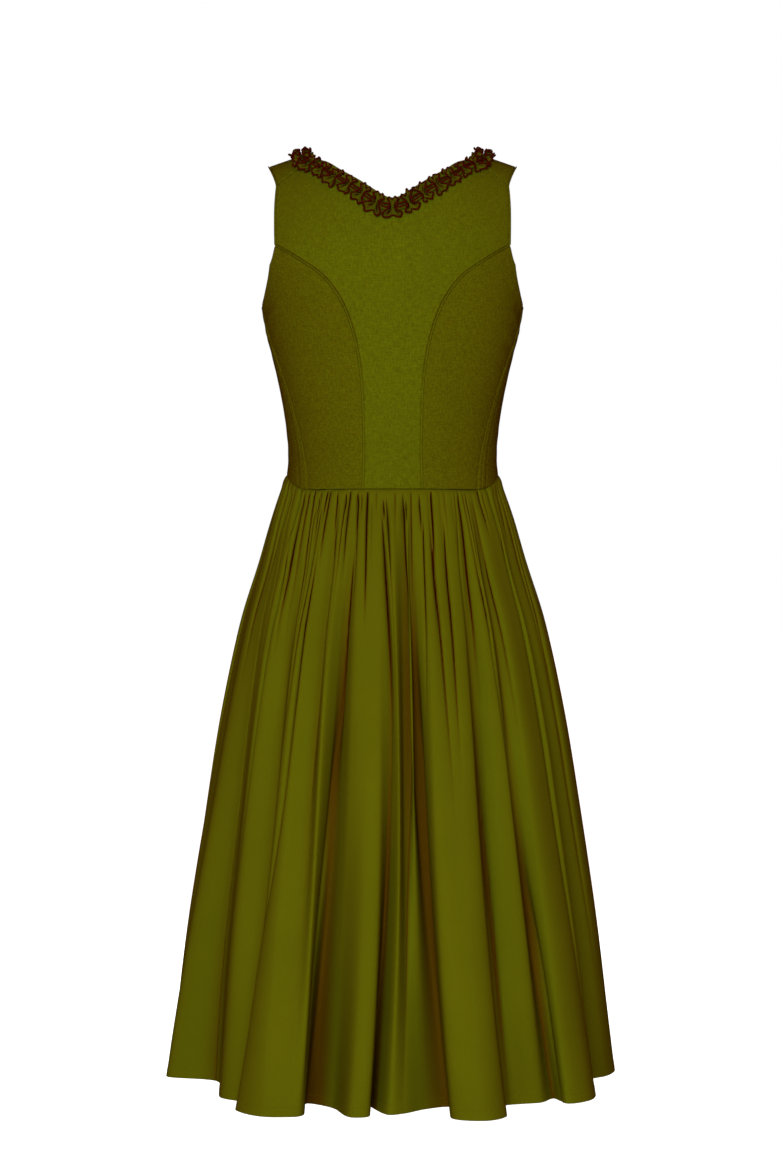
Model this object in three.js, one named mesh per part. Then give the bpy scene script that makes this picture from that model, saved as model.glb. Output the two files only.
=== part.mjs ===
// A sleeveless dirndl: a fitted princess-seamed bodice, a gathered skirt and a frog-mouth ruche
// around the neckline. Millimetres, +Z up. The front faces -Y, the back +Y, the wearer's left +X.
// The origin lies midway between the shoulders, at the height where the straps rest on them.
import * as THREE from 'three';

// ---- driving dimensions ----------------------------------------------------------------------

const BODICE_WALL = 1.5;      // fashion fabric and its interlining, pressed as one
const SKIRT_WALL = 1.2;
const RUCHE_WALL = 1.4;
const SEAM_GAP = 0.3;
const WAIST_GAP = 1.3;        // wider, because the two edges of this curved seam are faceted apart

const HEM_HEIGHT = -1094;
const WAIST_SIDE = -375;      // height of the waist seam at the side seams
const SKIRT_LENGTH = WAIST_SIDE - HEM_HEIGHT;
const WAIST_DIP_BACK = 20;    // how much lower it lies at the centre back
const WAIST_DIP_FRONT = 14;
const WAIST_DIP_REACH = 0.75; // share of the body's depth at which the dip is complete

const CHEST = -130;           // above this height the bodice closes over the shoulders
const SHOULDER_ARC = 150;     // mean radius of that closing arc
const NECK_POINT = 95;        // half-width of the neckline on top of the shoulder
const NECK_POINT_HEIGHT = 12;
const SHOULDER_SLOPE = 0.34;
const ROUNDNESS = 2.2;        // exponent of the bodice's oval sections, 2 is an ellipse
const GIRTH = 100;            // millimetres of girth coordinate for each radian around the body

const CUP = { out: 20, side: 78, height: -212, wide: 44, tall: 58 };

const RUCHE = { width: 21.5, inset: 1.6, pitch: 20.4, lift: 0.4, knot: 0.5, rise: 6.7, lobe: 1.5 };
const CLOSING_ROWS = 7;       // rows of the fronts' walls below the neckline, a hook on each
const STRAP_ROWS = 14;        // and above it
const SEAM_ROWS = 8;          // rows of the walls on both sides of a princess seam
const ARMHOLE_ROWS = 4;       // rows of the back above its princess seams
const COLUMNS = { backShoulder: 3, backNeck: 4, backSide: 6, frontSide: 11, front: 6 };
const HOOKS = { width: 15, height: 6, wall: 1.2, eye: 1.5 };

// Sections of the bodice.
const BODICE_SECTIONS = [
  { height: -402, half: 129.5, back: 93, front: 96 },
  { height: -375, half: 126.5, back: 91.5, front: 94 },
  { height: -351, half: 125, back: 90.5, front: 94 },
  { height: -315, half: 128, back: 91, front: 97 },
  { height: -279, half: 134, back: 93, front: 103 },
  { height: -243, half: 142, back: 95, front: 109 },
  { height: -207, half: 151, back: 97, front: 114 },
  { height: -175, half: 156.5, back: 97, front: 115 },
  { height: -130, half: 171, back: 97, front: 112 },
];

// Sections of the skirt's outermost reach: drop below the side of the waist seam.
const SKIRT_SECTIONS = [
  { drop: 0, half: 126.5, depth: 92 },
  { drop: 14, half: 133, depth: 99 },
  { drop: 48, half: 144.5, depth: 114 },
  { drop: 102, half: 160, depth: 134 },
  { drop: 174, half: 182.5, depth: 162 },
  { drop: 282, half: 206, depth: 193 },
  { drop: 390, half: 224, depth: 217 },
  { drop: 534, half: 246, depth: 244 },
  { drop: 642, half: 260, depth: 260 },
  { drop: 719, half: 270, depth: 270 },
];

// Crests and valleys of the skirt, in order around it. Angles in degrees from the centre back
// towards the wearer's left, at the waist, at mid skirt and at the hem; out is how far the
// cloth stands from the skirt's reach at mid skirt and at the hem.
const MID_SKIRT = 0.47;
const SKIRT_FOLDS = [
  { waist: 1, mid: -2, hem: 1, midOut: -2, hemOut: -32 },
  { waist: 5, mid: 1, hem: 8.5, midOut: -14, hemOut: -80 },
  { waist: 8, mid: 4, hem: 6.3, midOut: -3, hemOut: -20 },
  { waist: 12, mid: 8, hem: 10.5, midOut: -2, hemOut: -15 },
  { waist: 16, mid: 13.5, hem: 19, midOut: -10, hemOut: -60 },
  { waist: 21, mid: 19.8, hem: 29, midOut: -28, hemOut: -70 },
  { waist: 25, mid: 22.7, hem: 22.5, midOut: -2, hemOut: -6 },
  { waist: 31, mid: 27, hem: 25.5, midOut: -13, hemOut: 6 },
  { waist: 37, mid: 33, hem: 31, midOut: 0, hemOut: 16 },
  { waist: 42, mid: 37, hem: 39.5, midOut: -3, hemOut: 5 },
  { waist: 47, mid: 41, hem: 46, midOut: -17, hemOut: -31 },
  { waist: 56, mid: 50, hem: 54, midOut: -2, hemOut: -28 },
  { waist: 67, mid: 60, hem: 79, midOut: -15, hemOut: -57 },
  { waist: 77, mid: 70, hem: 87, midOut: -2, hemOut: -1 },
  { waist: 84, mid: 79, hem: 93, midOut: -7, hemOut: -3 },
  { waist: 92, mid: 91, hem: 100, midOut: 0, hemOut: 0 },
  { waist: 102, mid: 102, hem: 108, midOut: -18, hemOut: -48 },
  { waist: 112, mid: 112, hem: 115, midOut: 0, hemOut: 4 },
  { waist: 122, mid: 122, hem: 123, midOut: -8, hemOut: -7 },
  { waist: 131, mid: 131, hem: 131, midOut: -1, hemOut: 6 },
  { waist: 140, mid: 139, hem: 139, midOut: -20, hemOut: -58 },
  { waist: 148, mid: 147, hem: 149, midOut: 0, hemOut: -8 },
  { waist: 156, mid: 155, hem: 157, midOut: -14, hemOut: -38 },
  { waist: 164, mid: 163, hem: 165, midOut: 0, hemOut: 8 },
  { waist: 171, mid: 171, hem: 172, midOut: -3, hemOut: 0 },
  { waist: 180, mid: 180, hem: 180, midOut: -22, hemOut: -60 },
  { waist: 187, mid: 187, hem: 187, midOut: -1, hemOut: -6 },
  { waist: 194, mid: 194, hem: 195, midOut: -8, hemOut: -18 },
  { waist: 201, mid: 201, hem: 202, midOut: 0, hemOut: 6 },
  { waist: 210, mid: 211, hem: 212, midOut: -18, hemOut: -60 },
  { waist: 219, mid: 220, hem: 220, midOut: 0, hemOut: 2 },
  { waist: 228, mid: 229, hem: 229, midOut: -12, hemOut: -34 },
  { waist: 237, mid: 237, hem: 237, midOut: 0, hemOut: 6 },
  { waist: 246, mid: 246, hem: 245, midOut: -20, hemOut: -54 },
  { waist: 254, mid: 255, hem: 253, midOut: -1, hemOut: 2 },
  { waist: 263, mid: 264, hem: 260, midOut: -3, hemOut: 3 },
  { waist: 272, mid: 272, hem: 266, midOut: 0, hemOut: -2 },
  { waist: 283, mid: 284, hem: 272, midOut: -5, hemOut: -14 },
  { waist: 293, mid: 296, hem: 281, midOut: -24, hemOut: -42 },
  { waist: 298, mid: 300, hem: 296, midOut: -1, hemOut: -9 },
  { waist: 305, mid: 307, hem: 305, midOut: 0, hemOut: 4 },
  { waist: 311, mid: 313, hem: 311.5, midOut: -3, hemOut: -6 },
  { waist: 316, mid: 317, hem: 308.5, midOut: -16, hemOut: -35 },
  { waist: 319, mid: 321, hem: 315, midOut: -3, hemOut: -31 },
  { waist: 321.5, mid: 325, hem: 321, midOut: -8, hemOut: -41 },
  { waist: 324, mid: 329.5, hem: 326, midOut: -22, hemOut: -44 },
  { waist: 328, mid: 334, hem: 333.5, midOut: -2, hemOut: 9 },
  { waist: 335, mid: 341, hem: 339, midOut: 0, hemOut: 18 },
  { waist: 344, mid: 347.5, hem: 345.5, midOut: -2, hemOut: -1 },
  { waist: 350, mid: 350.8, hem: 342, midOut: -28, hemOut: -66 },
  { waist: 353, mid: 353.2, hem: 350, midOut: -14, hemOut: -60 },
  { waist: 356, mid: 355.5, hem: 356.5, midOut: -18, hemOut: -40 },
];
const LEFT_SEAM_FOLD = 12;    // the valleys that the skirt's three seams lie in
const FRONT_SEAM_FOLD = 25;
const RIGHT_SEAM_FOLD = 38;
const FOLD_STEPS = 3;         // columns from one crest or valley to the next
const SKIRT_ROWS = 6;

// ---- materials ---------------------------------------------------------------------------------

const bodiceCloth = new THREE.MeshStandardMaterial({ color: 0x57590a, roughness: 0.85 });
const skirtCloth = new THREE.MeshStandardMaterial({ color: 0x595b08, roughness: 0.75 });
const rucheCloth = new THREE.MeshStandardMaterial({ color: 0x4a3a08, roughness: 0.8 });
const steel = new THREE.MeshStandardMaterial({ color: 0x9a9a96, roughness: 0.35, metalness: 1 });

// ---- helpers -----------------------------------------------------------------------------------

const radians = THREE.MathUtils.degToRad;
const clamp = THREE.MathUtils.clamp;
const lerp = THREE.MathUtils.lerp;
const signedPower = (value, power) => Math.sign(value) * Math.abs(value) ** power;

// A column of a table of sections at any place along it, as a smooth curve through its rows.
function sectionValue(rows, along, column, at) {
  const last = rows.length - 1;
  let i = 0;
  while (i < last - 1 && at > rows[i + 1][along]) i += 1;
  const slope = (k) => {
    const before = rows[Math.max(k - 1, 0)];
    const after = rows[Math.min(k + 1, last)];
    return (after[column] - before[column]) / (after[along] - before[along]);
  };
  const step = rows[i + 1][along] - rows[i][along];
  const s = clamp((at - rows[i][along]) / step, 0, 1);
  const rise = rows[i + 1][column] - rows[i][column];
  const bendIn = slope(i) * step - rise;
  const bendOut = rise - slope(i + 1) * step;
  return rows[i][column] + rise * s + s * (1 - s) * (bendIn * (1 - s) + bendOut * s);
}

// A closed wall. outer(u, v) gives its outer face for u, v from 0 to 1; the inner face lies a
// wall's thickness inside it. u runs towards the wearer's left as seen from behind, v runs up.
function wall(outer, columns, rows, thickness) {
  const EPS = 1e-4;
  const normalAt = (u, v) => {
    const du = outer(u + EPS, v).sub(outer(u - EPS, v));
    const dv = outer(u, v + EPS).sub(outer(u, v - EPS));
    return dv.cross(du).normalize();
  };
  const points = [];
  const span = columns + 1;
  for (const depth of [0, thickness]) {
    for (let j = 0; j <= rows; j += 1) {
      for (let i = 0; i < span; i += 1) {
        const u = i / columns;
        const v = j / rows;
        points.push(outer(u, v).addScaledVector(normalAt(u, v), -depth));
      }
    }
  }
  const layer = span * (rows + 1);
  const at = (i, j, side) => side * layer + j * span + i;
  const index = [];
  const quad = (a, b, c, d) => index.push(a, b, c, a, c, d);
  for (let j = 0; j < rows; j += 1) {
    for (let i = 0; i < columns; i += 1) {
      quad(at(i, j, 0), at(i, j + 1, 0), at(i + 1, j + 1, 0), at(i + 1, j, 0));
      quad(at(i, j, 1), at(i + 1, j, 1), at(i + 1, j + 1, 1), at(i, j + 1, 1));
    }
  }
  for (let i = 0; i < columns; i += 1) {
    quad(at(i, 0, 0), at(i + 1, 0, 0), at(i + 1, 0, 1), at(i, 0, 1));
    quad(at(i, rows, 0), at(i, rows, 1), at(i + 1, rows, 1), at(i + 1, rows, 0));
  }
  for (let j = 0; j < rows; j += 1) {
    quad(at(0, j, 0), at(0, j, 1), at(0, j + 1, 1), at(0, j + 1, 0));
    quad(at(columns, j, 0), at(columns, j + 1, 0), at(columns, j + 1, 1), at(columns, j, 1));
  }
  return meshGeometry(points, index);
}

function meshGeometry(points, index) {
  const geometry = new THREE.BufferGeometry();
  geometry.setFromPoints(points);
  geometry.setIndex(index);
  geometry.computeVertexNormals();
  return geometry;
}

const dress = new THREE.Group();

function add(name, geometry, material) {
  const mesh = new THREE.Mesh(geometry, material);
  mesh.name = name;
  dress.add(mesh);
  return mesh;
}

// ---- the bodice's form ---------------------------------------------------------------------------
// A place on the bodice is (angle, height): the angle runs from the centre back to the wearer's
// left, and above the chest height goes on over the shoulder as an arc length.

const ridgeHeight = (x) => NECK_POINT_HEIGHT + (NECK_POINT - Math.abs(x)) * SHOULDER_SLOPE;

// The waist seam's height where the body's depth is a share of the whole, 1 at the centre back.
function seamHeight(share) {
  const dip = share > 0 ? WAIST_DIP_BACK : WAIST_DIP_FRONT;
  return WAIST_SIDE - dip * THREE.MathUtils.smoothstep(Math.abs(share), 0, WAIST_DIP_REACH);
}
const waistHeight = (angle) => seamHeight(signedPower(Math.cos(angle), 2 / ROUNDNESS));

function bodicePoint(angle, height) {
  const z = Math.min(height, CHEST);
  const turn = Math.max(height - CHEST, 0) / SHOULDER_ARC;
  const section = (column) => sectionValue(BODICE_SECTIONS, 'height', column, z);
  const x = section('half') * signedPower(Math.sin(angle), 2 / ROUNDNESS);
  const facing = Math.cos(angle) * Math.cos(turn);
  let depth = section(facing > 0 ? 'back' : 'front');
  if (facing < 0) {
    const aside = (Math.abs(x) - CUP.side) / CUP.wide;
    const above = (z - CUP.height) / CUP.tall;
    depth += CUP.out * Math.exp(-aside * aside - above * above);
  }
  const y = depth * signedPower(Math.cos(angle), 2 / ROUNDNESS) * Math.cos(turn);
  return new THREE.Vector3(x, y, z + (ridgeHeight(x) - z) * Math.sin(turn));
}

// The (angle, height) of the bodice's point nearest to x, y, z.
function bodicePlace(x, y, z) {
  const half = sectionValue(BODICE_SECTIONS, 'height', 'half', Math.min(z, CHEST));
  const lean = Math.asin(clamp(Math.abs(x) / half, 0, 1) ** (ROUNDNESS / 2));
  const angle = (x < 0 ? -1 : 1) * (y >= 0 ? lean : Math.PI - lean);
  if (z <= CHEST) return [angle, z];
  const level = bodicePoint(angle, CHEST);
  const turn = Math.atan2((z - CHEST) / (ridgeHeight(x) - CHEST), Math.abs(y / level.y));
  return [angle, CHEST + SHOULDER_ARC * turn];
}

// An outline is a smooth line through a few places. [x, height] places lie below the shoulders,
// and { x, turn } ones at an angle of the shoulder's arc, 90 being its top.
function outline(side, places) {
  const facing = side === 'back' ? 1 : -1;
  const points = places.map((place) => {
    if (Array.isArray(place)) {
      const [angle, height] = bodicePlace(place[0], facing, place[1]);
      if (place[1] <= CHEST) return new THREE.Vector2(angle * GIRTH, height);
      const rise = (place[1] - CHEST) / (ridgeHeight(place[0]) - CHEST);
      return new THREE.Vector2(angle * GIRTH, CHEST + SHOULDER_ARC * Math.asin(rise));
    }
    const [angle] = bodicePlace(place.x, facing, CHEST);
    return new THREE.Vector2(angle * GIRTH, CHEST + SHOULDER_ARC * radians(place.turn));
  });
  return new THREE.SplineCurve(points);
}

// Two or more outlines end to end, with a corner at each share given in at.
function chain(curves, at) {
  const stops = [0, ...at, 1];
  return (s) => {
    let k = 0;
    while (k < curves.length - 1 && s > stops[k + 1]) k += 1;
    const share = (s - stops[k]) / (stops[k + 1] - stops[k]);
    const curve = curves[k];
    const inside = clamp(share, 0, 1);
    const point = curve.getPointAt(inside);
    return point.addScaledVector(curve.getTangentAt(inside), (share - inside) * curve.getLength());
  };
}

// A bodice panel fills the space between its four edges, and is moved from its seams by shift.
function panel(bottom, top, first, last, mirror) {
  const corner = [bottom(0), bottom(1), top(0), top(1)];
  return (u, v) => {
    const across = bottom(u).multiplyScalar(1 - v).addScaledVector(top(u), v);
    const up = first(v).multiplyScalar(1 - u).addScaledVector(last(v), u);
    const bilinear = corner[0].clone().multiplyScalar((1 - u) * (1 - v))
      .addScaledVector(corner[1], u * (1 - v))
      .addScaledVector(corner[2], (1 - u) * v)
      .addScaledVector(corner[3], u * v);
    const place = across.add(up).sub(bilinear);
    return bodicePoint((mirror ? -1 : 1) * place.x / GIRTH, place.y);
  };
}

const shifted = (edge, girth, height) => (s) => {
  const point = edge(s);
  return new THREE.Vector2(point.x + girth, point.y + height);
};
const reversed = (edge) => (s) => edge(1 - s);

// The waist seam between two angles given as girths.
const waistEdge = (from, to) => (s) => {
  const girth = lerp(from, to, s);
  return new THREE.Vector2(girth, waistHeight(girth / GIRTH));
};

// ---- outlines of the bodice's pieces, on the wearer's left ------------------------------------

const ARMHOLE_LOW = 139;      // half-width where the back princess seam meets the armhole
const UNDERARM = -175;
const SHOULDER_SEAM = { neck: { x: 93, turn: 64 }, arm: { x: 138, turn: 48 } };

const backPrincess = outline('back', [
  [36, -395], [35, -335], [38, -262], [51, -200], [78, -152], [111, -126], [ARMHOLE_LOW, -108],
]);
const backArmholeUpper = outline('back', [
  [ARMHOLE_LOW, -108], [139.5, -85], [139.5, -60], SHOULDER_SEAM.arm,
]);
const backArmholeLower = outline('back', [
  [ARMHOLE_LOW, -108], [144.5, -128], [149, -150], [154, -169], [156.4, UNDERARM],
]);
const backShoulder = outline('back', [SHOULDER_SEAM.arm, { x: 115, turn: 57 }, SHOULDER_SEAM.neck]);
const backNeck = outline('back', [
  SHOULDER_SEAM.neck, [77, -7], [60, -19], [30, -38.5], [15, -49], [6, -54], [0, -55],
]);
const frontPrincess = outline('front', [
  [50, -389], [60, -320], [77, -255], [88, -212], [101, -172], [115, -143], [129, -122],
]);
const frontArmholeLower = outline('front', [
  [129, -122], [136, -138], [145, -156], [153, -170], [156.4, UNDERARM],
]);

const overShoulder = (place) => ({ x: place.x, turn: 180 - place.turn });
const frontArmholeUpper = outline('front', [
  [129, -122], [128, -90], [132, -50], { x: 149, turn: 90 }, overShoulder(SHOULDER_SEAM.arm),
]);
const frontNeck = outline('front', [
  [0, -151], [12, -150.8], [32, -148], [58, -136], [78, -108], [89, -65], [93, -20],
  { x: 95, turn: 90 }, overShoulder(SHOULDER_SEAM.neck),
]);
const frontShoulder = outline('front', [
  overShoulder(SHOULDER_SEAM.neck), { x: 115, turn: 123 }, overShoulder(SHOULDER_SEAM.arm),
]);

// The side seam leans forward on its way up, from the waist to the underarm.
const SIDE_SEAM = { waist: 0.93, lean: 0.46, top: 0.17 };
const sideSeam = (s) => {
  const angle = SIDE_SEAM.waist + SIDE_SEAM.lean * s + SIDE_SEAM.top * s ** 3;
  const low = waistHeight(SIDE_SEAM.waist);
  return new THREE.Vector2(angle * GIRTH, lerp(low, UNDERARM, s));
};
const underarm = sideSeam(1);

// Ends an outline at the side seam's top, so that the two panels beside it share that corner.
const toUnderarm = (curve) => (s) => {
  const point = curve(s);
  return point.lerp(underarm, THREE.MathUtils.smoothstep(s, 0.55, 1));
};

// ---- the bodice --------------------------------------------------------------------------------

const alongBackPrincess = chain([backPrincess], []);
const alongFrontPrincess = chain([frontPrincess], []);
const backArmhole = toUnderarm(chain([backArmholeLower], []));
const frontArmhole = toUnderarm(chain([frontArmholeLower], []));

function mirrored(edge) {
  return (s) => {
    const point = edge(s);
    return new THREE.Vector2(-point.x, point.y);
  };
}

function buildBackCenter() {
  const waistGirth = alongBackPrincess(0).x;
  const rows = SEAM_ROWS + ARMHOLE_ROWS;
  const halfColumns = COLUMNS.backShoulder + COLUMNS.backNeck;
  const side = chain([backPrincess, backArmholeUpper], [SEAM_ROWS / rows]);
  const halfTop = chain([backShoulder, backNeck], [COLUMNS.backShoulder / halfColumns]);
  const top = (u) => (u < 0.5 ? mirrored(halfTop)(2 * u) : halfTop(2 - 2 * u));
  const outer = panel(waistEdge(-waistGirth, waistGirth), top, mirrored(side), side, false);
  add('back_center', wall(outer, 2 * halfColumns, rows, BODICE_WALL), bodiceCloth);
}

function buildSidePanels() {
  for (const [name, mirror] of [['left', false], ['right', true]]) {
    const seam = shifted(alongBackPrincess, SEAM_GAP, -SEAM_GAP);
    const backBottom = waistEdge(seam(0).x, sideSeam(0).x);
    const armhole = shifted(backArmhole, SEAM_GAP, -SEAM_GAP);
    const backTop = (s) => armhole(s).lerp(backArmhole(s), s);
    const back = panel(backBottom, backTop, seam, sideSeam, mirror);
    const backWall = wall(turned(back, mirror), COLUMNS.backSide, SEAM_ROWS, BODICE_WALL);
    add(`back_side_${name}`, backWall, bodiceCloth);

    const sideEdge = shifted(sideSeam, SEAM_GAP, 0);
    const inner = shifted(alongFrontPrincess, -SEAM_GAP, -SEAM_GAP);
    const frontTop = (s) => {
      const point = reversed(frontArmhole)(s);
      return point.add(new THREE.Vector2(lerp(SEAM_GAP, -SEAM_GAP, s), -SEAM_GAP * s));
    };
    const frontBottom = waistEdge(sideEdge(0).x, inner(0).x);
    const front = panel(frontBottom, frontTop, sideEdge, inner, mirror);
    const frontWall = wall(turned(front, mirror), COLUMNS.frontSide, SEAM_ROWS, BODICE_WALL);
    add(`front_side_${name}`, frontWall, bodiceCloth);
  }
}

// A mirrored panel runs the other way round, so its u is turned to keep its faces outward.
function turned(outer, mirror) {
  return mirror ? (u, v) => outer(1 - u, v) : outer;
}

// Heights along the centre front, from the waist seam to the neckline.
const closingHeight = (s) => lerp(waistHeight(Math.PI), frontNeck.points[0].y, s);

function buildFronts() {
  const centre = GIRTH * Math.PI - SEAM_GAP / 2;
  const closing = (s) => new THREE.Vector2(centre, closingHeight(s));
  const rows = CLOSING_ROWS + STRAP_ROWS;
  const share = CLOSING_ROWS / rows;
  const neck = chain([frontNeck], []);
  const innerEdge = (v) => {
    if (v < share) return closing(v / share);
    const point = neck((v - share) / (1 - share));
    point.x = Math.min(point.x, centre);
    return point;
  };
  const strapEnd = (curve) => (s) => {
    const point = curve(s);
    point.y -= SEAM_GAP * THREE.MathUtils.smoothstep(s, 0.8, 1);
    return point;
  };
  const outerEdge = strapEnd(chain([frontPrincess, frontArmholeUpper], [SEAM_ROWS / rows]));
  const top = shifted(reversed(chain([frontShoulder], [])), 0, -SEAM_GAP);
  for (const [name, mirror] of [['left', false], ['right', true]]) {
    const bottom = waistEdge(outerEdge(0).x, centre);
    const outer = panel(bottom, top, outerEdge, strapEnd(innerEdge), mirror);
    const frontWall = wall(turned(outer, mirror), COLUMNS.front, rows, BODICE_WALL);
    add(`front_${name}`, frontWall, bodiceCloth);
  }
}

// ---- the ruche ------------------------------------------------------------------------------------

// The neck edge as one line in space, from the closing over the left strap, the back and the
// right strap to the closing again.
function neckEdge() {
  const closing = 0.6;        // half the space left between its two ends
  const points = [];
  const sample = (curve, steps) => {
    for (let k = 0; k <= steps; k += 1) {
      const place = curve.getPointAt(k / steps);
      points.push(bodicePoint(place.x / GIRTH, place.y));
    }
  };
  sample(frontNeck, 200);
  points.pop();
  sample(backNeck, 100);
  const left = points.filter((point) => point.x > closing);
  const right = left.map((point) => new THREE.Vector3(-point.x, point.y, point.z)).reverse();
  return new THREE.CatmullRomCurve3([...left, ...right]);
}

// Its pleats stand up as fans on both sides of a row of knots, where it is sewn down.
function buildRuche() {
  const edge = neckEdge();
  const length = edge.getLength();
  const units = Math.round(length / RUCHE.pitch);
  const stepsPerUnit = 4;
  const steps = units * stepsPerUnit;
  const across = [-1, 0, 1];
  const points = [];
  const surface = (point) => {
    const [angle, height] = bodicePlace(point.x, point.y, point.z);
    const EPS = 1e-3;
    const du = bodicePoint(angle + EPS, height).sub(bodicePoint(angle - EPS, height));
    const dv = bodicePoint(angle, height + 1).sub(bodicePoint(angle, height - 1));
    return { at: bodicePoint(angle, height), normal: dv.cross(du).normalize() };
  };
  for (let k = 0; k <= steps; k += 1) {
    const start = edge.getPointAt(k / steps);
    const tangent = edge.getTangentAt(k / steps);
    const inward = tangent.clone().cross(surface(start).normal).normalize();
    const wave = 0.5 - 0.5 * Math.cos(2 * Math.PI * k / stepsPerUnit);
    for (const side of across) {
      const reach = RUCHE.inset + RUCHE.width * (side + 1) / 2 + (side > 0 ? RUCHE.lobe * wave : 0);
      const { at, normal } = surface(start.clone().addScaledVector(inward, reach));
      const lift = RUCHE.lift + (side === 0 ? RUCHE.knot : RUCHE.knot + RUCHE.rise * wave);
      points.push(at.clone().addScaledVector(normal, lift));
      points.push(at.clone().addScaledVector(normal, lift + RUCHE_WALL));
    }
  }
  const ring = [0, 2, 4, 5, 3, 1];
  const size = across.length * 2;
  const index = [];
  for (let k = 0; k < steps; k += 1) {
    for (let i = 0; i < size; i += 1) {
      const a = k * size + ring[i];
      const b = k * size + ring[(i + 1) % size];
      index.push(a, a + size, b + size, a, b + size, b);
    }
  }
  const cap = (base, flip) => {
    for (const [a, b, c] of [[0, 2, 3], [0, 3, 1], [2, 4, 5], [2, 5, 3]]) {
      index.push(base + a, base + (flip ? c : b), base + (flip ? b : c));
    }
  };
  cap(0, false);
  cap(steps * size, true);
  add('neck_ruche', outwards(meshGeometry(points, index)), rucheCloth);
}

// Turns a closed mesh's faces outward if its volume comes out negative.
function outwards(geometry) {
  const place = geometry.attributes.position;
  const index = geometry.index;
  const corner = [0, 1, 2].map(() => new THREE.Vector3());
  let volume = 0;
  for (let k = 0; k < index.count; k += 3) {
    corner.forEach((point, i) => point.fromBufferAttribute(place, index.getX(k + i)));
    volume += corner[0].dot(corner[1].clone().cross(corner[2]));
  }
  if (volume < 0) {
    for (let k = 0; k < index.count; k += 3) {
      const swap = index.getX(k + 1);
      index.setX(k + 1, index.getX(k + 2));
      index.setX(k + 2, swap);
    }
  }
  return geometry;
}

// ---- the skirt ---------------------------------------------------------------------------------

// The smooth line through a fold's values at the waist, mid skirt and hem.
function downSkirt(waist, mid, hem, s) {
  const bend = (mid - waist - (hem - waist) * MID_SKIRT) / (MID_SKIRT * (MID_SKIRT - 1));
  return waist + (hem - waist) * s + bend * s * (s - 1);
}

// One level of the skirt as a closed curve through its crests and valleys.
function skirtRing(s) {
  const drop = SKIRT_LENGTH * s;
  const half = sectionValue(SKIRT_SECTIONS, 'drop', 'half', drop);
  const depth = sectionValue(SKIRT_SECTIONS, 'drop', 'depth', drop);
  const points = SKIRT_FOLDS.map((fold) => {
    const angle = radians(downSkirt(fold.waist, fold.mid, fold.hem, s));
    const out = downSkirt(0, fold.midOut, fold.hemOut, s);
    return new THREE.Vector3((half + out) * Math.sin(angle), (depth + out) * Math.cos(angle), 0);
  });
  return new THREE.CatmullRomCurve3(points, true, 'centripetal');
}

// The skirt's rows crowd towards the waist, where it flares most.
const skirtLevel = (v) => Math.max(1 - v, 0) ** 1.5;

function skirtPoint(turn, v) {
  const s = skirtLevel(v);
  const point = skirtRing(s).getPoint(((turn % 1) + 1) % 1);
  const depth = sectionValue(SKIRT_SECTIONS, 'drop', 'depth', SKIRT_LENGTH * s);
  point.z = lerp(seamHeight(point.y / depth) - WAIST_GAP, HEM_HEIGHT, s);
  return point;
}

function buildSkirt() {
  const count = SKIRT_FOLDS.length;
  const panels = [
    { name: 'skirt_front_left', from: LEFT_SEAM_FOLD, to: FRONT_SEAM_FOLD },
    { name: 'skirt_front_right', from: FRONT_SEAM_FOLD, to: RIGHT_SEAM_FOLD },
    { name: 'skirt_back', from: RIGHT_SEAM_FOLD, to: LEFT_SEAM_FOLD + count },
  ];
  const halfGap = 0.008;      // in folds, about half a seam gap
  for (const { name, from, to } of panels) {
    const outer = (u, v) => skirtPoint(lerp(from + halfGap, to - halfGap, u) / count, v);
    const columns = (to - from) * FOLD_STEPS;
    add(name, wall(outer, columns, SKIRT_ROWS, SKIRT_WALL), skirtCloth);
  }
}

// ---- hooks and eyes --------------------------------------------------------------------------------

// Each fastened pair is one small plate of bent wire with two sewing loops, lying inside the
// fronts where they meet edge to edge.
function buildHooks() {
  const round = HOOKS.height / 2;
  const straight = HOOKS.width / 2 - round;
  const shape = new THREE.Shape();
  shape.absarc(straight, 0, round, -Math.PI / 2, Math.PI / 2);
  shape.absarc(-straight, 0, round, Math.PI / 2, Math.PI * 1.5);
  for (const side of [-1, 1]) {
    const eye = new THREE.Path();
    eye.absarc(side * straight, 0, HOOKS.eye, 0, Math.PI * 2, true);
    shape.holes.push(eye);
  }
  const geometry = new THREE.ExtrudeGeometry(shape, {
    depth: HOOKS.wall, bevelEnabled: false, curveSegments: 4,
  });
  for (let k = 0; k < CLOSING_ROWS; k += 1) {
    const low = bodicePoint(Math.PI, closingHeight(k / CLOSING_ROWS));
    const high = bodicePoint(Math.PI, closingHeight((k + 1) / CLOSING_ROWS));
    const at = low.clone().lerp(high, 0.5);
    const up = high.sub(low).normalize();
    const across = new THREE.Vector3(1, 0, 0);
    const out = across.clone().cross(up);
    const plate = add(`hook_${String(k + 1).padStart(2, '0')}`, geometry, steel);
    const inset = BODICE_WALL + SEAM_GAP + HOOKS.wall;
    plate.position.copy(at.addScaledVector(out, -inset));
    plate.quaternion.setFromRotationMatrix(new THREE.Matrix4().makeBasis(across, up, out));
  }
}

buildBackCenter();
buildSidePanels();
buildFronts();
buildRuche();
buildSkirt();
buildHooks();

export default dress;
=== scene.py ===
# %% [markdown]
# # A sleeveless dirndl
#
# This lesson dresses a plain CAD model of a folk dress in real cloth. The dress is olive green,
# with a fitted bodice of seven panels, a gathered skirt and a pleated "frog-mouth" ruche round its
# neckline. Each cell makes one piece or one finish, and prints what it made.
#
# Lengths are in metres. Z points up, the front of the dress faces -Y, its back +Y, and the
# wearer's left is +X.

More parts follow.
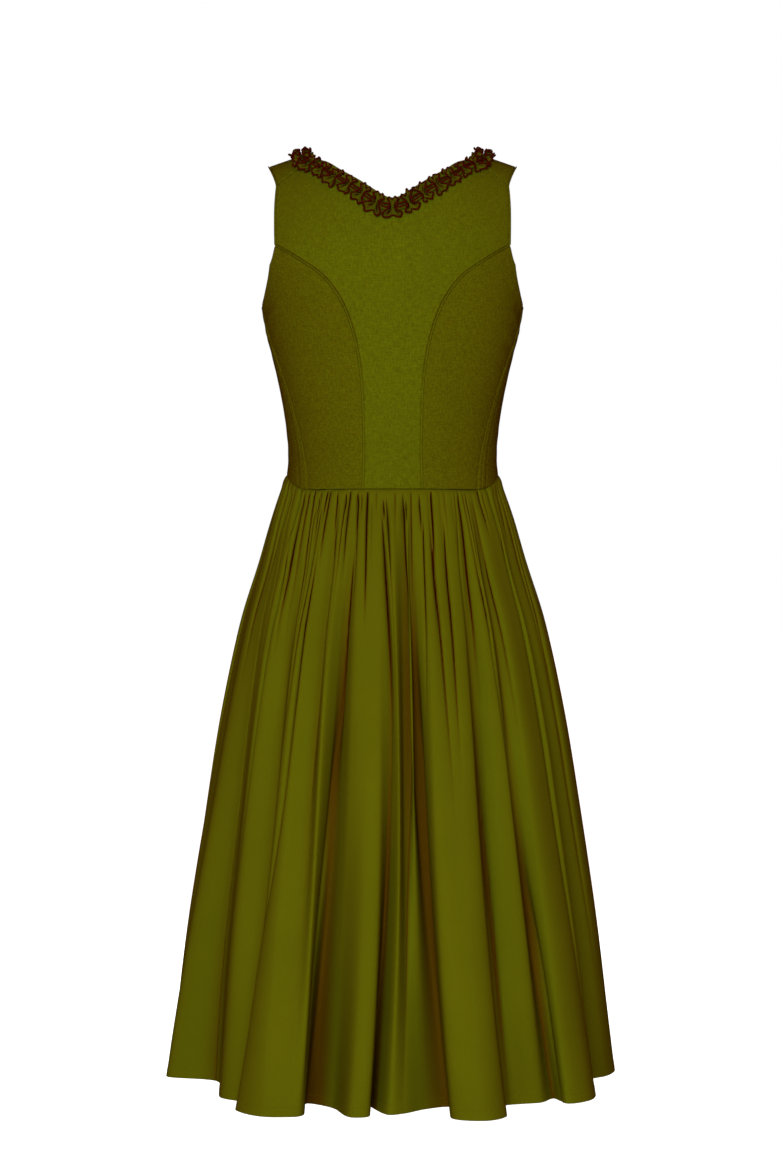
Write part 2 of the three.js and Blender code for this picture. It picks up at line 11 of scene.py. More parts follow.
import bpy
import numpy as np
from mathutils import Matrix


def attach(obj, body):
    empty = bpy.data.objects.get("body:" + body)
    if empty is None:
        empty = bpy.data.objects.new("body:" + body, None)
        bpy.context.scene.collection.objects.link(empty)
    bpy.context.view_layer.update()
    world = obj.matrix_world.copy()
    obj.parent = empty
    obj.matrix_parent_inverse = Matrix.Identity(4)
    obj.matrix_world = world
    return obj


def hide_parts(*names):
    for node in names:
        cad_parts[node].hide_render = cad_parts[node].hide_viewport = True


MM = 0.001
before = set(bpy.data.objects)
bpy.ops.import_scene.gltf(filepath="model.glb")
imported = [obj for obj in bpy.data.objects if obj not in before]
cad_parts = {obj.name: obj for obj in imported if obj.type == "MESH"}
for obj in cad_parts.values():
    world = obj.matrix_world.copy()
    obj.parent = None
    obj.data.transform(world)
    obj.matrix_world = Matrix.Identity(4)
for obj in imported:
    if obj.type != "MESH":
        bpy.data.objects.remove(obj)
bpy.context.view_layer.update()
print("CAD nodes:", sorted(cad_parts))

# %% [markdown]
# ## Helpers: materials from nodes
#
# A material is a small net of nodes, each of which turns numbers and colours into others. These
# helpers add one node and its links in a line, so that a finish reads as the sum it is.

# %% Node helpers
def new_material(name):
    """A node material, its shader and its node tree."""
    material = bpy.data.materials.new(name)
    material.use_nodes = True
    tree = material.node_tree
    return material, tree.nodes["Principled BSDF"], tree


def plug(tree, made, links):
    """Fills a node's inputs from {input: output socket or value}."""
    for key, value in links.items():
        if isinstance(value, bpy.types.NodeSocket):
            tree.links.new(value, made.inputs[key])
        else:
            made.inputs[key].default_value = value


def node(tree, kind, links=None, **settings):
    """A new node of a kind with its settings, and with its inputs filled."""
    made = tree.nodes.new("ShaderNode" + kind)
    for key, value in settings.items():
        setattr(made, key, value)
    plug(tree, made, links or {})
    return made


def math_node(tree, operation, first, second=0.0):
    """One step of arithmetic on two numbers or sockets."""
    return node(tree, "Math", {0: first, 1: second}, operation=operation).outputs[0]


def mix_color(tree, amount, first, second):
    """A blend of two colours by an amount."""
    mix = node(tree, "Mix", {0: amount, 6: first, 7: second}, data_type="RGBA")
    return mix.outputs[2]


def map_range(tree, value, start, end, low=0.0, high=1.0):
    """A number between low and high, drawn out to lie between start and end and held there."""
    return node(tree, "MapRange", {"Value": value, "From Min": low, "From Max": high,
                "To Min": start, "To Max": end}).outputs[0]


print("node helpers ready")

# %% [markdown]
# ## Camera, light and floor
#
# The dress is shown from behind. The camera stands three metres away, level, a little below the
# waist, so that the hem is seen as a gentle wave rather than a straight line. The main lamp stands
# above the camera and a little behind it: its light reaches into the folds, and a fold shows by
# how its sides turn away. The room itself is dim and warm, which gives the shaded cloth its brown.
# A second strong lamp lights the front, and three weak ones lift the sides a little.
#
# The floor and the backdrop are white only where the camera looks at them. Light Path's "Is Camera
# Ray" tells that look from the light that they would send on to the dress.

# %% Camera
LENS, SENSOR = 79.2, 36.0     # millimetres
CAMERA_PLACE = (0.0018, 3.1, -0.510)
camera_data = bpy.data.cameras.new("camera")
camera_data.lens = LENS
camera_data.sensor_width = SENSOR
camera = bpy.data.objects.new("camera", camera_data)
camera.location = CAMERA_PLACE
camera.rotation_euler = (np.pi / 2, 0, np.pi)
bpy.context.scene.collection.objects.link(camera)
bpy.context.scene.camera = camera
bpy.context.scene.view_settings.view_transform = "Standard"
print("camera at", tuple(camera.location))

# %% Lamps
MIDDLE = np.array([0, 0, -0.5])
DAYLIGHT = (0.86, 1.0, 0.9)
LAMPS = {       # place, width of the square, watts
    "key_lamp": ((0.3, 3.5, 0.0), 1.1, 96),
    "fill_lamp": ((-2.2, 2.8, 0.3), 1.5, 5),
    "front_lamp": ((0.4, -3.3, 0.3), 1.1, 100),
    "side_lamp": ((3.2, -1.6, 0.5), 1.2, 4),
    "other_side_lamp": ((-3.2, -1.6, 0.5), 1.2, 4),
}


def soft_lamp(name, place, width, watts):
    """A square area lamp at a place, turned to shine at the middle of the dress."""
    data = bpy.data.lights.new(name, "AREA")
    data.shape = "SQUARE"
    data.size = width
    data.energy = watts
    data.color = DAYLIGHT
    lamp = bpy.data.objects.new(name, data)
    lamp.location = place
    away = np.array(place) - MIDDLE
    flat = np.hypot(away[0], away[1])
    lamp.rotation_euler = (np.arctan2(flat, away[2]), 0, np.arctan2(away[0], -away[1]))
    bpy.context.scene.collection.objects.link(lamp)


for name, (place, width, watts) in LAMPS.items():
    soft_lamp(name, place, width, watts)
print("lamps:", list(LAMPS))

# %% The room
WARM_ROOM = (0.26, 0.02, 0.01, 1)
WHITE = (1, 1, 1, 1)
world = bpy.data.worlds.new("studio")
world.use_nodes = True
tree = world.node_tree
seen = node(tree, "LightPath").outputs["Is Camera Ray"]
wall = mix_color(tree, seen, WARM_ROOM, WHITE)
tree.links.new(wall, tree.nodes["Background"].inputs["Color"])
bpy.context.scene.world = world
print("world:", world.name)

# %% Floor
FLOOR_HEIGHT = -1.36
FLOOR_REACH = 40.0
PALE = (0.45, 0.48, 0.5, 1)
GLOW = (0.75, 1.1)            # strength near the dress and far away
GLOW_REACH = (1.2, 3.5)       # distances from the middle between which it grows


def pale_floor():
    """A large flat square below the hem, which glows to the camera only. The glow grows with the
    distance from the middle, so that the floor fades into the backdrop."""
    corners = [(x * FLOOR_REACH, y * FLOOR_REACH, FLOOR_HEIGHT)
               for x, y in [(-1, -1), (1, -1), (1, 1), (-1, 1)]]
    mesh = bpy.data.meshes.new("floor")
    mesh.from_pydata(corners, [], [(0, 1, 2, 3)])
    floor = bpy.data.objects.new("floor", mesh)
    bpy.context.scene.collection.objects.link(floor)
    material, shader, tree = new_material("pale_floor")
    place = node(tree, "TexCoord").outputs["Object"]
    away = node(tree, "VectorMath", {0: place}, operation="LENGTH").outputs["Value"]
    glow = map_range(tree, away, *GLOW, *GLOW_REACH)
    seen = node(tree, "LightPath").outputs["Is Camera Ray"]
    plug(tree, shader, {"Base Color": PALE, "Roughness": 0.9, "Emission Color": WHITE,
                        "Emission Strength": math_node(tree, "MULTIPLY", glow, seen)})
    mesh.materials.append(material)
    return floor


pale_floor()
print("floor at", FLOOR_HEIGHT)

# %% [markdown]
# ## Helpers: smooth lines and cloth from a grid
#
# Every cloth piece here is a grid of points worked out with numpy. Rows and columns of the grid
# follow the cloth, so the grid also gives the piece its UV map, in metres of flat cloth, and the
# weave then runs with the piece instead of lying across it.

# %% Smooth lines through few points
LINE_SAMPLES = 600
CROWDING = 0.9      # how far rows and columns crowd towards a bodice panel's edges


def unit(vectors):
    """Vectors drawn out or in to a length of 1."""
    return vectors / np.maximum(np.linalg.norm(vectors, axis=-1, keepdims=True), 1e-12)


def smooth_column(rows, column, at):
    """A table's column anywhere along its first column: cubic pieces that pass through the rows,
    with the slope at each row of the line between the rows on either side of it."""
    x, y = rows[:, 0], rows[:, column]
    slope = np.empty_like(y)
    slope[1:-1] = (y[2:] - y[:-2]) / (x[2:] - x[:-2])
    slope[0] = (y[1] - y[0]) / (x[1] - x[0])
    slope[-1] = (y[-1] - y[-2]) / (x[-1] - x[-2])
    i = np.clip(np.searchsorted(x, at) - 1, 0, len(x) - 2)
    step = x[i + 1] - x[i]
    s = np.clip((at - x[i]) / step, 0, 1)
    rise = y[i + 1] - y[i]
    bend = (slope[i] * step - rise) * (1 - s) + (rise - slope[i + 1] * step) * s
    return y[i] + rise * s + s * (1 - s) * bend


def through_points(points, t):
    """A smooth line through points, at t counted in points: cubic pieces whose direction at each
    point is that of the line between its two neighbours."""
    points = np.asarray(points, float)
    last = len(points) - 1
    place = np.arange(last + 1)
    tangent = (points[np.minimum(place + 1, last)] - points[np.maximum(place - 1, 0)]) / 2
    i = np.clip(np.floor(t).astype(int), 0, last - 1)
    s = (t - i)[:, None]
    start, end = points[i], points[i + 1]
    rise = end - start
    bend = (tangent[i] - rise) * (1 - s) + (rise - tangent[i + 1]) * s
    return start + rise * s + s * (1 - s) * bend


def length_along(line):
    """Length along a line at each of its points: the sum of the steps up to it."""
    return np.append(0, np.cumsum(np.linalg.norm(np.diff(line, axis=0), axis=1)))


def places_at(wanted, length, line):
    """The places on a line of points at the wanted lengths along it, straight between points."""
    return np.stack([np.interp(wanted, length, column) for column in line.T], axis=-1)


def along_line(points, shares):
    """The places on the smooth line through points at shares of its length."""
    line = through_points(points, np.linspace(0, len(points) - 1, LINE_SAMPLES))
    length = length_along(line)
    return places_at(np.clip(shares, 0, 1) * length[-1], length, line)


def smooth_step(value, start, end):
    """0 before start, 1 after end, and 3t² - 2t³ between them."""
    t = np.clip((value - start) / (end - start), 0, 1)
    return t * t * (3 - 2 * t)


def bell(distance, height, at, width):
    """A swelling: its height times e to the minus square of the distance from it over its width."""
    return height * np.exp(-((distance - at) / width) ** 2)


def fading(distance, height, reach):
    """A rise or dip at an edge: its height times e to the minus distance over reach."""
    return height * np.exp(-distance / reach)


def signed_power(value, power):
    """A power of the size of a value, with the value's sign."""
    return np.sign(value) * np.abs(value) ** power


def crowded(count):
    """count + 1 shares from 0 to 1 that crowd towards both ends: x less a part of a sine."""
    x = np.linspace(0, 1, count + 1)
    return x - CROWDING * np.sin(2 * np.pi * x) / (2 * np.pi)


print("helpers ready")

# %% Cloth from a grid
def normals_of(points):
    """Unit normals of a grid: the cross product of its column and row directions."""
    across = np.gradient(points, axis=1)
    down = np.gradient(points, axis=0)
    return unit(np.cross(across, down))


def grid_quads(rows, columns):
    """The four corners of each cell of a grid, counted row by row."""
    corner = (np.arange(rows - 1)[:, None] * columns + np.arange(columns - 1)).ravel()
    return corner[:, None] + np.array([0, 1, columns + 1, columns])


def mesh_object(name, points, quads, flat=None, marks=None):
    """A smooth mesh piece from points and four-cornered faces, with a UV place in metres and
    named numbers for each point."""
    points = np.ascontiguousarray(points.reshape(-1, 3), dtype=np.float32)
    quads = np.ascontiguousarray(quads, dtype=np.int32)
    mesh = bpy.data.meshes.new(name)
    mesh.vertices.add(len(points))
    mesh.vertices.foreach_set("co", points.ravel())
    mesh.loops.add(quads.size)
    mesh.loops.foreach_set("vertex_index", quads.ravel())
    mesh.polygons.add(len(quads))
    mesh.polygons.foreach_set("loop_start", np.arange(0, quads.size, 4, dtype=np.int32))
    mesh.polygons.foreach_set("use_smooth", np.ones(len(quads), dtype=bool))
    mesh.update(calc_edges=True)
    if flat is not None:
        layer = mesh.uv_layers.new(name="cloth")
        layer.data.foreach_set("uv", flat.reshape(-1, 2)[quads.ravel()].astype(np.float32).ravel())
    for mark, values in (marks or {}).items():
        attribute = mesh.attributes.new(mark, "FLOAT", "POINT")
        attribute.data.foreach_set("value", np.ascontiguousarray(values, dtype=np.float32).ravel())
    piece = bpy.data.objects.new(name, mesh)
    bpy.context.scene.collection.objects.link(piece)
    return piece


def cloth_sheet(name, points, flat, thickness, material, marks):
    """A sheet of cloth on a grid of points whose normals face outwards, thickened inwards."""
    piece = mesh_object(name, points, grid_quads(*points.shape[:2]), flat, marks)
    wall = piece.modifiers.new("thickness", "SOLIDIFY")
    wall.thickness = thickness
    wall.offset = -1
    piece.data.materials.append(material)
    return piece


def painted_side_shade(points, most):
    """Painted shade: how far the cloth faces the sides instead of the front or the back, from 0 to
    most, as a mark that paints it browner.
    """
    return most * (1 - np.abs(normals_of(points)[..., 1]))


def report(piece):
    """Prints a piece's name and the number of triangles that it will have."""
    thick = any(m.type == "SOLIDIFY" for m in piece.modifiers)
    faces = len(piece.data.polygons)
    print(piece.name, "about", faces * (4 if thick else 2), "triangles")


print("cloth helpers ready")

# %% [markdown]
# ## Cloth finishes
#
# Two cloths make the dress. The bodice is a dull linen-like plain weave, whose thick and thin
# threads show as streaks and flecks. The skirt is a smooth cotton. Both weaves are made from two
# sets of waves on the UV map, one for the warp and one for the weft, with noise drawn out along
# each. Both cloths are shot, olive one way and red-brown the other, as the cut edges of the trim
# show, so a fleck of the other thread is browner. Shade is painted into the colour as well: each
# sheet carries a mark of how far it dips into a fold or turns aside, and the colour is painted
# browner by it. Past a set mark, which only narrow slits reach, the cloth is painted darker too,
# as a painted shadow. The mark is worked out from the form, so a fold is as brown from every side.
# On the ruche the same mark also gives the red-brown of its overlocked edges, and painted shade
# along its pleats.

# %% A plain weave
ONE_WAVE = np.pi / 10             # the scale of one wave to the metre: scale 1 has ten in pi metres
STREAK_LENGTH = 14                # in threads, as are the next two
STREAK_WIDTH = 2.4
FLECK_SIZE = 3.6


def plain_weave(tree, thread, slub):
    """Height of a plain weave on the UV map, from 0 to 1, and how thick its weft and warp are
    here, as one: two sets of waves one thread apart, and noise drawn out along each."""
    place = node(tree, "UVMap", uv_map="cloth").outputs["UV"]
    long, wide = 1 / (thread * STREAK_LENGTH), 1 / (thread * STREAK_WIDTH)
    thick = []
    waves = []
    for direction, scale in (("Y", (long, wide, 1)), ("X", (wide, long, 1))):
        drawn = node(tree, "Mapping", {"Vector": place, "Scale": scale}).outputs[0]
        noise = node(tree, "TexNoise", {"Vector": drawn, "Scale": 1.0, "Detail": 2.0})
        thick.append(noise.outputs["Fac"])
        wave = node(tree, "TexWave", {"Vector": place, "Scale": ONE_WAVE / thread,
                    "Distortion": slub, "Detail": 1.0, "Detail Scale": 0.6},
                    wave_type="BANDS", bands_direction=direction)
        waves.append(wave.outputs["Fac"])
    height = math_node(tree, "MAXIMUM", waves[0], waves[1])
    return height, math_node(tree, "MULTIPLY", math_node(tree, "ADD", thick[0], thick[1]), 0.5)


print("waves in a metre at scale 1:", round(1 / ONE_WAVE, 2))

# %% Cloth
DRIFT_SCALE = 9.0                 # broad unevenness of the dye, in spots to the metre
DRIFT = 0.05
MIDDLE_VALUES = (0.3, 0.7)        # where most of a noise's values lie
FLECK_VALUES = (0.4, 0.64)        # where the browner thread starts to show, and shows fully
# the mark past which the colour is painted darker, a painted shadow in narrow slits, and the share
# of the colour left where the mark is 1
SLIT_SHADOW_FROM = 0.7
SLIT_SHADOW_DARKEST = 0.4


def cloth_material(name, color, shade, thread, slub, roughness, bump, mottle, shot):
    """A woven cloth: its colour, the brown of its flecks and of the shade painted into its folds
    and where it turns aside, its weave's thread pitch, the unevenness of its threads, its
    roughness, the strength of its bumps, how much the threads tint it, and how far the browner
    thread shows in its flecks."""
    material, shader, tree = new_material(name)
    height, thick = plain_weave(tree, thread, slub)
    streaks = map_range(tree, thick, 1 - mottle, 1 + mottle, *MIDDLE_VALUES)
    place = node(tree, "TexCoord").outputs["Object"]
    broad = node(tree, "TexNoise", {"Vector": place, "Scale": DRIFT_SCALE, "Detail": 3.0})
    drift = map_range(tree, broad.outputs["Fac"], 1 - DRIFT, 1 + DRIFT, *MIDDLE_VALUES)
    flecks = node(tree, "TexNoise", {"Vector": place, "Detail": 3.0, "Roughness": 0.6,
                  "Scale": 1 / (thread * FLECK_SIZE)})
    browner = map_range(tree, flecks.outputs["Fac"], 0.0, shot, *FLECK_VALUES)
    # the mark of painted shade: how far the cloth dips into a fold or turns aside; on the ruche it
    # also marks its red-brown edges
    depth = node(tree, "Attribute", attribute_name="painted_shade_and_edge").outputs["Fac"]
    # painted shadow: past the slit mark the colour is darkened, most where the mark is 1
    slit = map_range(tree, depth, 1.0, SLIT_SHADOW_DARKEST, SLIT_SHADOW_FROM, 1.0)
    tint = math_node(tree, "MULTIPLY", math_node(tree, "MULTIPLY", streaks, drift), slit)
    # the colour leans to the brown by the painted shade mark, and by the browner flecks of the
    # weave
    base = mix_color(tree, math_node(tree, "ADD", depth, browner), (*color, 1), (*shade, 1))
    toned = node(tree, "VectorMath", {0: base, "Scale": tint}, operation="SCALE")
    relief = math_node(tree, "ADD", math_node(tree, "MULTIPLY", height, 0.6),
                       math_node(tree, "MULTIPLY", thick, 0.8))
    bumps = node(tree, "Bump", {"Height": relief, "Strength": bump, "Distance": thread * 0.5})
    rough = map_range(tree, height, roughness + 0.08, roughness - 0.08)
    plug(tree, shader, {"Base Color": toned.outputs[0], "Normal": bumps.outputs["Normal"],
                        "Roughness": rough, "Sheen Weight": 0.01, "Sheen Roughness": 0.5,
                        "Sheen Tint": (*color, 1), "Specular IOR Level": 0.0})
    return material


print("cloth darkens past a mark of", SLIT_SHADOW_FROM)

# %% The dress's three cloths
OLIVE_BODICE = (0.116, 0.137, 0.0022)
OLIVE_SKIRT = (0.112, 0.119, 0.0022)
# the ruche is the dress cloth, painted darker than the skirt's olive as the painted shade of its
# deep pleats
SHADED_OLIVE_RUCHE = (0.085, 0.088, 0.0015)
# the brown of the browner flecks, and of the shade painted into folds and on cloth that turns aside
FLECK_AND_SHADE_BROWN = (0.070, 0.007, 0.0003)
# the red-brown of the overlocked edges' thread; on the ruche it is also the colour of the shade
# painted along its pleat lines
RED_BROWN = (0.055, 0.004, 0.0004)
bodice_cloth = cloth_material("bodice_linen", OLIVE_BODICE, FLECK_AND_SHADE_BROWN, thread=0.55 * MM,
                              slub=1.2, roughness=0.9, bump=0.8, mottle=0.26, shot=0.3)
skirt_cloth = cloth_material("skirt_cotton", OLIVE_SKIRT, FLECK_AND_SHADE_BROWN, thread=0.3 * MM,
                             slub=0.4, roughness=0.75, bump=0.25, mottle=0.05, shot=0.04)
ruche_cloth = cloth_material("ruche_cotton", SHADED_OLIVE_RUCHE, RED_BROWN, thread=0.35 * MM,
                             slub=0.6, roughness=0.85, bump=0.3, mottle=0.08, shot=0.06)
print("cloths:", bodice_cloth.name, skirt_cloth.name, ruche_cloth.name)

# %% [markdown]
# ## Thread and wire
#
# Sewing thread is plies twisted together, and from close by it shows as fine slanting waves. The
# hooks are drawn wire, scratched a little along its length. A wave texture makes the one and a
# stretched noise the other, so that neither has to be laid out along the piece.

# %% Thread and wire
TWIST_SCALE = 900.0
OLIVE_THREAD = (0.11, 0.108, 0.002)
STEEL = (0.45, 0.45, 0.43, 1)
SCRATCHES = (200, 2500, 2500)     # scratches to the metre along and across the wire


def thread_material(name, color):
    """Twisted sewing thread: fine slanting waves round each stitch."""
    material, shader, tree = new_material(name)
    place = node(tree, "TexCoord").outputs["Object"]
    twist = node(tree, "TexWave", {"Vector": place, "Scale": TWIST_SCALE,
                 "Distortion": 0.5}, bands_direction="DIAGONAL").outputs["Fac"]
    tone = map_range(tree, twist, 0.8, 1.15)
    toned = node(tree, "VectorMath", {0: color, "Scale": tone}, operation="SCALE")
    bumps = node(tree, "Bump", {"Height": twist, "Strength": 0.3, "Distance": 0.1 * MM})
    plug(tree, shader, {"Base Color": toned.outputs[0], "Normal": bumps.outputs["Normal"],
                        "Roughness": 0.7, "Specular IOR Level": 0.03})
    return material


def steel_material():
    """Bright drawn wire with faint scratches."""
    material, shader, tree = new_material("hook_wire")
    place = node(tree, "TexCoord").outputs["Object"]
    drawn = node(tree, "Mapping", {"Vector": place, "Scale": SCRATCHES}).outputs[0]
    noise = node(tree, "TexNoise", {"Vector": drawn, "Scale": 1.0, "Detail": 3.0})
    rough = map_range(tree, noise.outputs["Fac"], 0.22, 0.45)
    plug(tree, shader, {"Base Color": STEEL, "Roughness": rough, "Metallic": 1.0})
    return material


olive_thread = thread_material("olive_thread", OLIVE_THREAD)
edge_thread = thread_material("edge_thread", RED_BROWN)
hook_wire = steel_material()
for name, cad_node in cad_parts.items():
    if name.startswith("hook"):
        for slot in cad_node.material_slots:
            slot.material = hook_wire
print("threads and wire ready")

# %% [markdown]
# ## The bodice's form
#
# A tight bodice is a smooth form cut into panels, so the form comes first. It is a stack of ovals
# a little squarer than an ellipse, which close over the shoulders above the chest. A place on it
# is an angle from the centre back and a height, and above the chest the height goes on as a length
# of arc over the shoulder. The tables below are the pattern maker's sizes.

# %% Sizes of the bodice
# height, half width, depth to the back, depth to the front
BODICE_SECTIONS = np.array([
    (-0.402, 0.1295, 0.0930, 0.0960),
    (-0.375, 0.1265, 0.0915, 0.0940),
    (-0.351, 0.1250, 0.0905, 0.0940),
    (-0.315, 0.1280, 0.0910, 0.0970),
    (-0.279, 0.1340, 0.0930, 0.1030),
    (-0.243, 0.1420, 0.0950, 0.1090),
    (-0.207, 0.1510, 0.0970, 0.1140),
    (-0.175, 0.1565, 0.0970, 0.1150),
    (-0.130, 0.1710, 0.0970, 0.1120),
])
CHEST = -0.130
SHOULDER_ARC = 0.150
NECK_POINT = 0.095
NECK_POINT_HEIGHT = 0.012
SHOULDER_SLOPE = 0.34
ROUNDNESS = 2.2
WAIST_SIDE = -0.375
WAIST_DIP_BACK = 0.020
WAIST_DIP_FRONT = 0.014
WAIST_DIP_REACH = 0.75
CUP = {"out": 0.020, "side": 0.078, "height": -0.212, "wide": 0.044, "tall": 0.058}


def ridge_height(x):
    """Height of the shoulder's top, which falls away from the neck."""
    return NECK_POINT_HEIGHT + (NECK_POINT - np.abs(x)) * SHOULDER_SLOPE


def bodice_point(angle, height):
    """Points of the bodice. x is the half width times sine, y the depth times cosine, each to the
    power that squares the oval a little. Over the shoulder y shrinks with the cosine of the turn
    and z climbs to the shoulder's top with its sine. Two rounded cups stand out in front."""
    z = np.minimum(height, CHEST)
    turn = np.maximum(height - CHEST, 0) / SHOULDER_ARC
    half, back, front = (smooth_column(BODICE_SECTIONS, k, z) for k in (1, 2, 3))
    x = half * signed_power(np.sin(angle), 2 / ROUNDNESS)
    aside = (np.abs(x) - CUP["side"]) / CUP["wide"]
    above = (z - CUP["height"]) / CUP["tall"]
    cup = CUP["out"] * np.exp(-aside ** 2 - above ** 2)
    depth = np.where(np.cos(angle) * np.cos(turn) > 0, back, front + cup)
    y = depth * signed_power(np.cos(angle), 2 / ROUNDNESS) * np.cos(turn)
    return np.stack([x, y, z + (ridge_height(x) - z) * np.sin(turn)], axis=-1)


def bodice_place(points):
    """The angle and height of the bodice's places nearest to points."""
    x, y, z = points[..., 0], points[..., 1], points[..., 2]
    half = smooth_column(BODICE_SECTIONS, 1, np.minimum(z, CHEST))
    lean = np.arcsin(np.clip(np.abs(x) / half, 0, 1) ** (ROUNDNESS / 2))
    angle = np.where(x < 0, -1, 1) * np.where(y >= 0, lean, np.pi - lean)
    level = bodice_point(angle, np.full_like(angle, CHEST))[..., 1]
    climb = (z - CHEST) / (ridge_height(x) - CHEST)
    turn = np.arctan2(climb, np.abs(y / level))
    return angle, np.where(z <= CHEST, z, CHEST + SHOULDER_ARC * turn)


def seam_height(share):
    """Height of the waist seam where the body's depth is a share of the whole, 1 at the back."""
    dip = np.where(share > 0, WAIST_DIP_BACK, WAIST_DIP_FRONT)
    return WAIST_SIDE - dip * smooth_step(np.abs(share), 0, WAIST_DIP_REACH)


def waist_height(angle):
    """Height of the waist seam at an angle."""
    return seam_height(signed_power(np.cos(angle), 2 / ROUNDNESS))


print("waist seam from", waist_height(np.pi / 2), "to", waist_height(0.0))

# %% [markdown]
# ## The bodice's seams
#
# A panel is known by its outline. The outlines are smooth lines through a few places, each given
# as a distance from the middle and a height, or, where the line runs over the shoulder, as a
# distance and an angle of the shoulder's arc. Princess seams run from the waist up over the
# shoulder blades and the cups into the armholes, and take the place of darts.

# %% Outlines
BACK, FRONT = 1, -1


def outline(facing, *places):
    """The (angle, height) places of an outline on the back or the front. A place is its distance
    from the middle and its height, which is below 0. Over the shoulder it is its distance and its
    angle in degrees on the shoulder's arc, which is above 0."""
    made = []
    for x, value in places:
        angle, height = bodice_place(np.array([x, facing * 1.0, min(value, CHEST)]))
        if value > 0:
            height = CHEST + SHOULDER_ARC * np.radians(value)
        elif value > CHEST:
            height = CHEST + SHOULDER_ARC * np.arcsin((value - CHEST) / (ridge_height(x) - CHEST))
        made.append((float(angle), float(height)))
    return np.array(made)


# the shoulder seam's two ends, reached over the back and over the front
SEAM_NECK, SEAM_ARM = (0.093, 64), (0.138, 48)
FRONT_SEAM_NECK, FRONT_SEAM_ARM = (0.093, 116), (0.138, 132)
back_princess = outline(BACK, (0.036, -0.395), (0.035, -0.335), (0.038, -0.262), (0.051, -0.200),
                        (0.078, -0.152), (0.111, -0.126), (0.139, -0.108))
back_armhole_upper = outline(BACK, (0.139, -0.108), (0.1395, -0.085), (0.1395, -0.060), SEAM_ARM)
back_armhole_lower = outline(BACK, (0.139, -0.108), (0.1445, -0.128), (0.149, -0.150),
                             (0.154, -0.169), (0.1564, -0.175))
back_shoulder = outline(BACK, SEAM_ARM, (0.115, 57), SEAM_NECK)
back_neck = outline(BACK, SEAM_NECK, (0.077, -0.007), (0.060, -0.019), (0.030, -0.0385),
                    (0.015, -0.049), (0.006, -0.054), (0.0, -0.055))
front_princess = outline(FRONT, (0.050, -0.389), (0.060, -0.320), (0.077, -0.255),
                         (0.088, -0.212), (0.101, -0.172), (0.115, -0.143), (0.129, -0.122))
front_armhole_lower = outline(FRONT, (0.129, -0.122), (0.136, -0.138), (0.145, -0.156),
                              (0.153, -0.170), (0.1564, -0.175))
front_armhole_upper = outline(FRONT, (0.129, -0.122), (0.128, -0.090), (0.132, -0.050),
                              (0.149, 90), FRONT_SEAM_ARM)
front_neck = outline(FRONT, (0.0, -0.151), (0.012, -0.1508), (0.032, -0.148), (0.058, -0.136),
                     (0.078, -0.108), (0.089, -0.065), (0.093, -0.020), (0.095, 90),
                     FRONT_SEAM_NECK)
front_shoulder = outline(FRONT, FRONT_SEAM_NECK, (0.115, 123), FRONT_SEAM_ARM)
print("outlines of", len(back_princess), "to", len(front_neck), "places")

# %% Lines along the outlines
def chained(*outlines, stops=()):
    """One line along several outlines end to end, which change over at the stops."""
    ends = [0.0, *stops, 1.0]

    def line(shares):
        """Each share's place on the outline that it falls in."""
        shares = np.asarray(shares, float)
        result = np.zeros((len(shares), 2))
        for k, places in enumerate(outlines):
            here = (shares >= ends[k]) & (shares <= ends[k + 1])
            result[here] = along_line(places, (shares[here] - ends[k]) / (ends[k + 1] - ends[k]))
        return result

    return line


def mirrored(line):
    """The same line on the wearer's right."""
    return lambda shares: line(shares) * np.array([-1, 1])


def backwards(line):
    """The same line from its end to its start."""
    return lambda shares: line(1 - shares)


def waist_line(start, end):
    """The waist seam from one angle to another."""
    def line(shares):
        """The angle grows evenly, and the height is the waist seam's there."""
        angle = start + (end - start) * shares
        return np.stack([angle, waist_height(angle)], axis=1)

    return line


SIDE_SEAM_WAIST, SIDE_SEAM_LEAN, SIDE_SEAM_TOP, UNDERARM = 0.93, 0.46, 0.17, -0.175


def side_seam(shares):
    """The side seam leans forward on its way up from the waist to the underarm."""
    angle = SIDE_SEAM_WAIST + SIDE_SEAM_LEAN * shares + SIDE_SEAM_TOP * shares ** 3
    low = waist_height(SIDE_SEAM_WAIST)
    return np.stack([angle, low + (UNDERARM - low) * shares], axis=1)


def to_underarm(line):
    """Ends an armhole line exactly on the side seam's top."""
    def joined(shares):
        """The line at first, drawn over to the side seam's top in its second half."""
        weight = smooth_step(shares, 0.55, 1)[:, None]
        return line(shares) * (1 - weight) + side_seam(np.ones(1)) * weight

    return joined


print("side seam top at", side_seam(np.ones(1))[0])

# %% [markdown]
# ## The bodice's panels
#
# Each panel fills the space between its four edges with a Coons patch: the blend of the lower edge
# to the upper, plus the blend of one side to the other, less the blend of the corners, which both
# of them count. Its relief is then added along the normals, by each point's distance from the
# edges: a seam is a narrow ditch, the cloth beside a princess seam stands up a little over the
# pressed seam allowance and is stitched down, and a free edge is rolled over. Towards the waist,
# where the cloth is pulled tight, all of this flattens to half.

# %% Relief along a panel's edges
def rolled(distance, drop=0.9 * MM, reach=1.3 * MM):
    """A folded edge: a quarter circle that drops away over the last millimetre."""
    t = np.clip(1 - distance / reach, 0, 1)
    return -drop * (1 - np.sqrt(1 - t * t))


def band(distance, height, start, end):
    """The cloth over a pressed seam allowance: a height that slopes off between two distances."""
    return height * (1 - smooth_step(distance, start, end))


def welt(distance):
    """The raised side of a princess seam: a band beside the seam, with a stitched-down foot."""
    return (band(distance, 0.9 * MM, start=1.52 * MM, end=2.85 * MM)
            + bell(distance, -1.2 * MM, at=2.66 * MM, width=0.55 * MM)
            + rolled(distance, drop=1.5 * MM, reach=0.8 * MM))


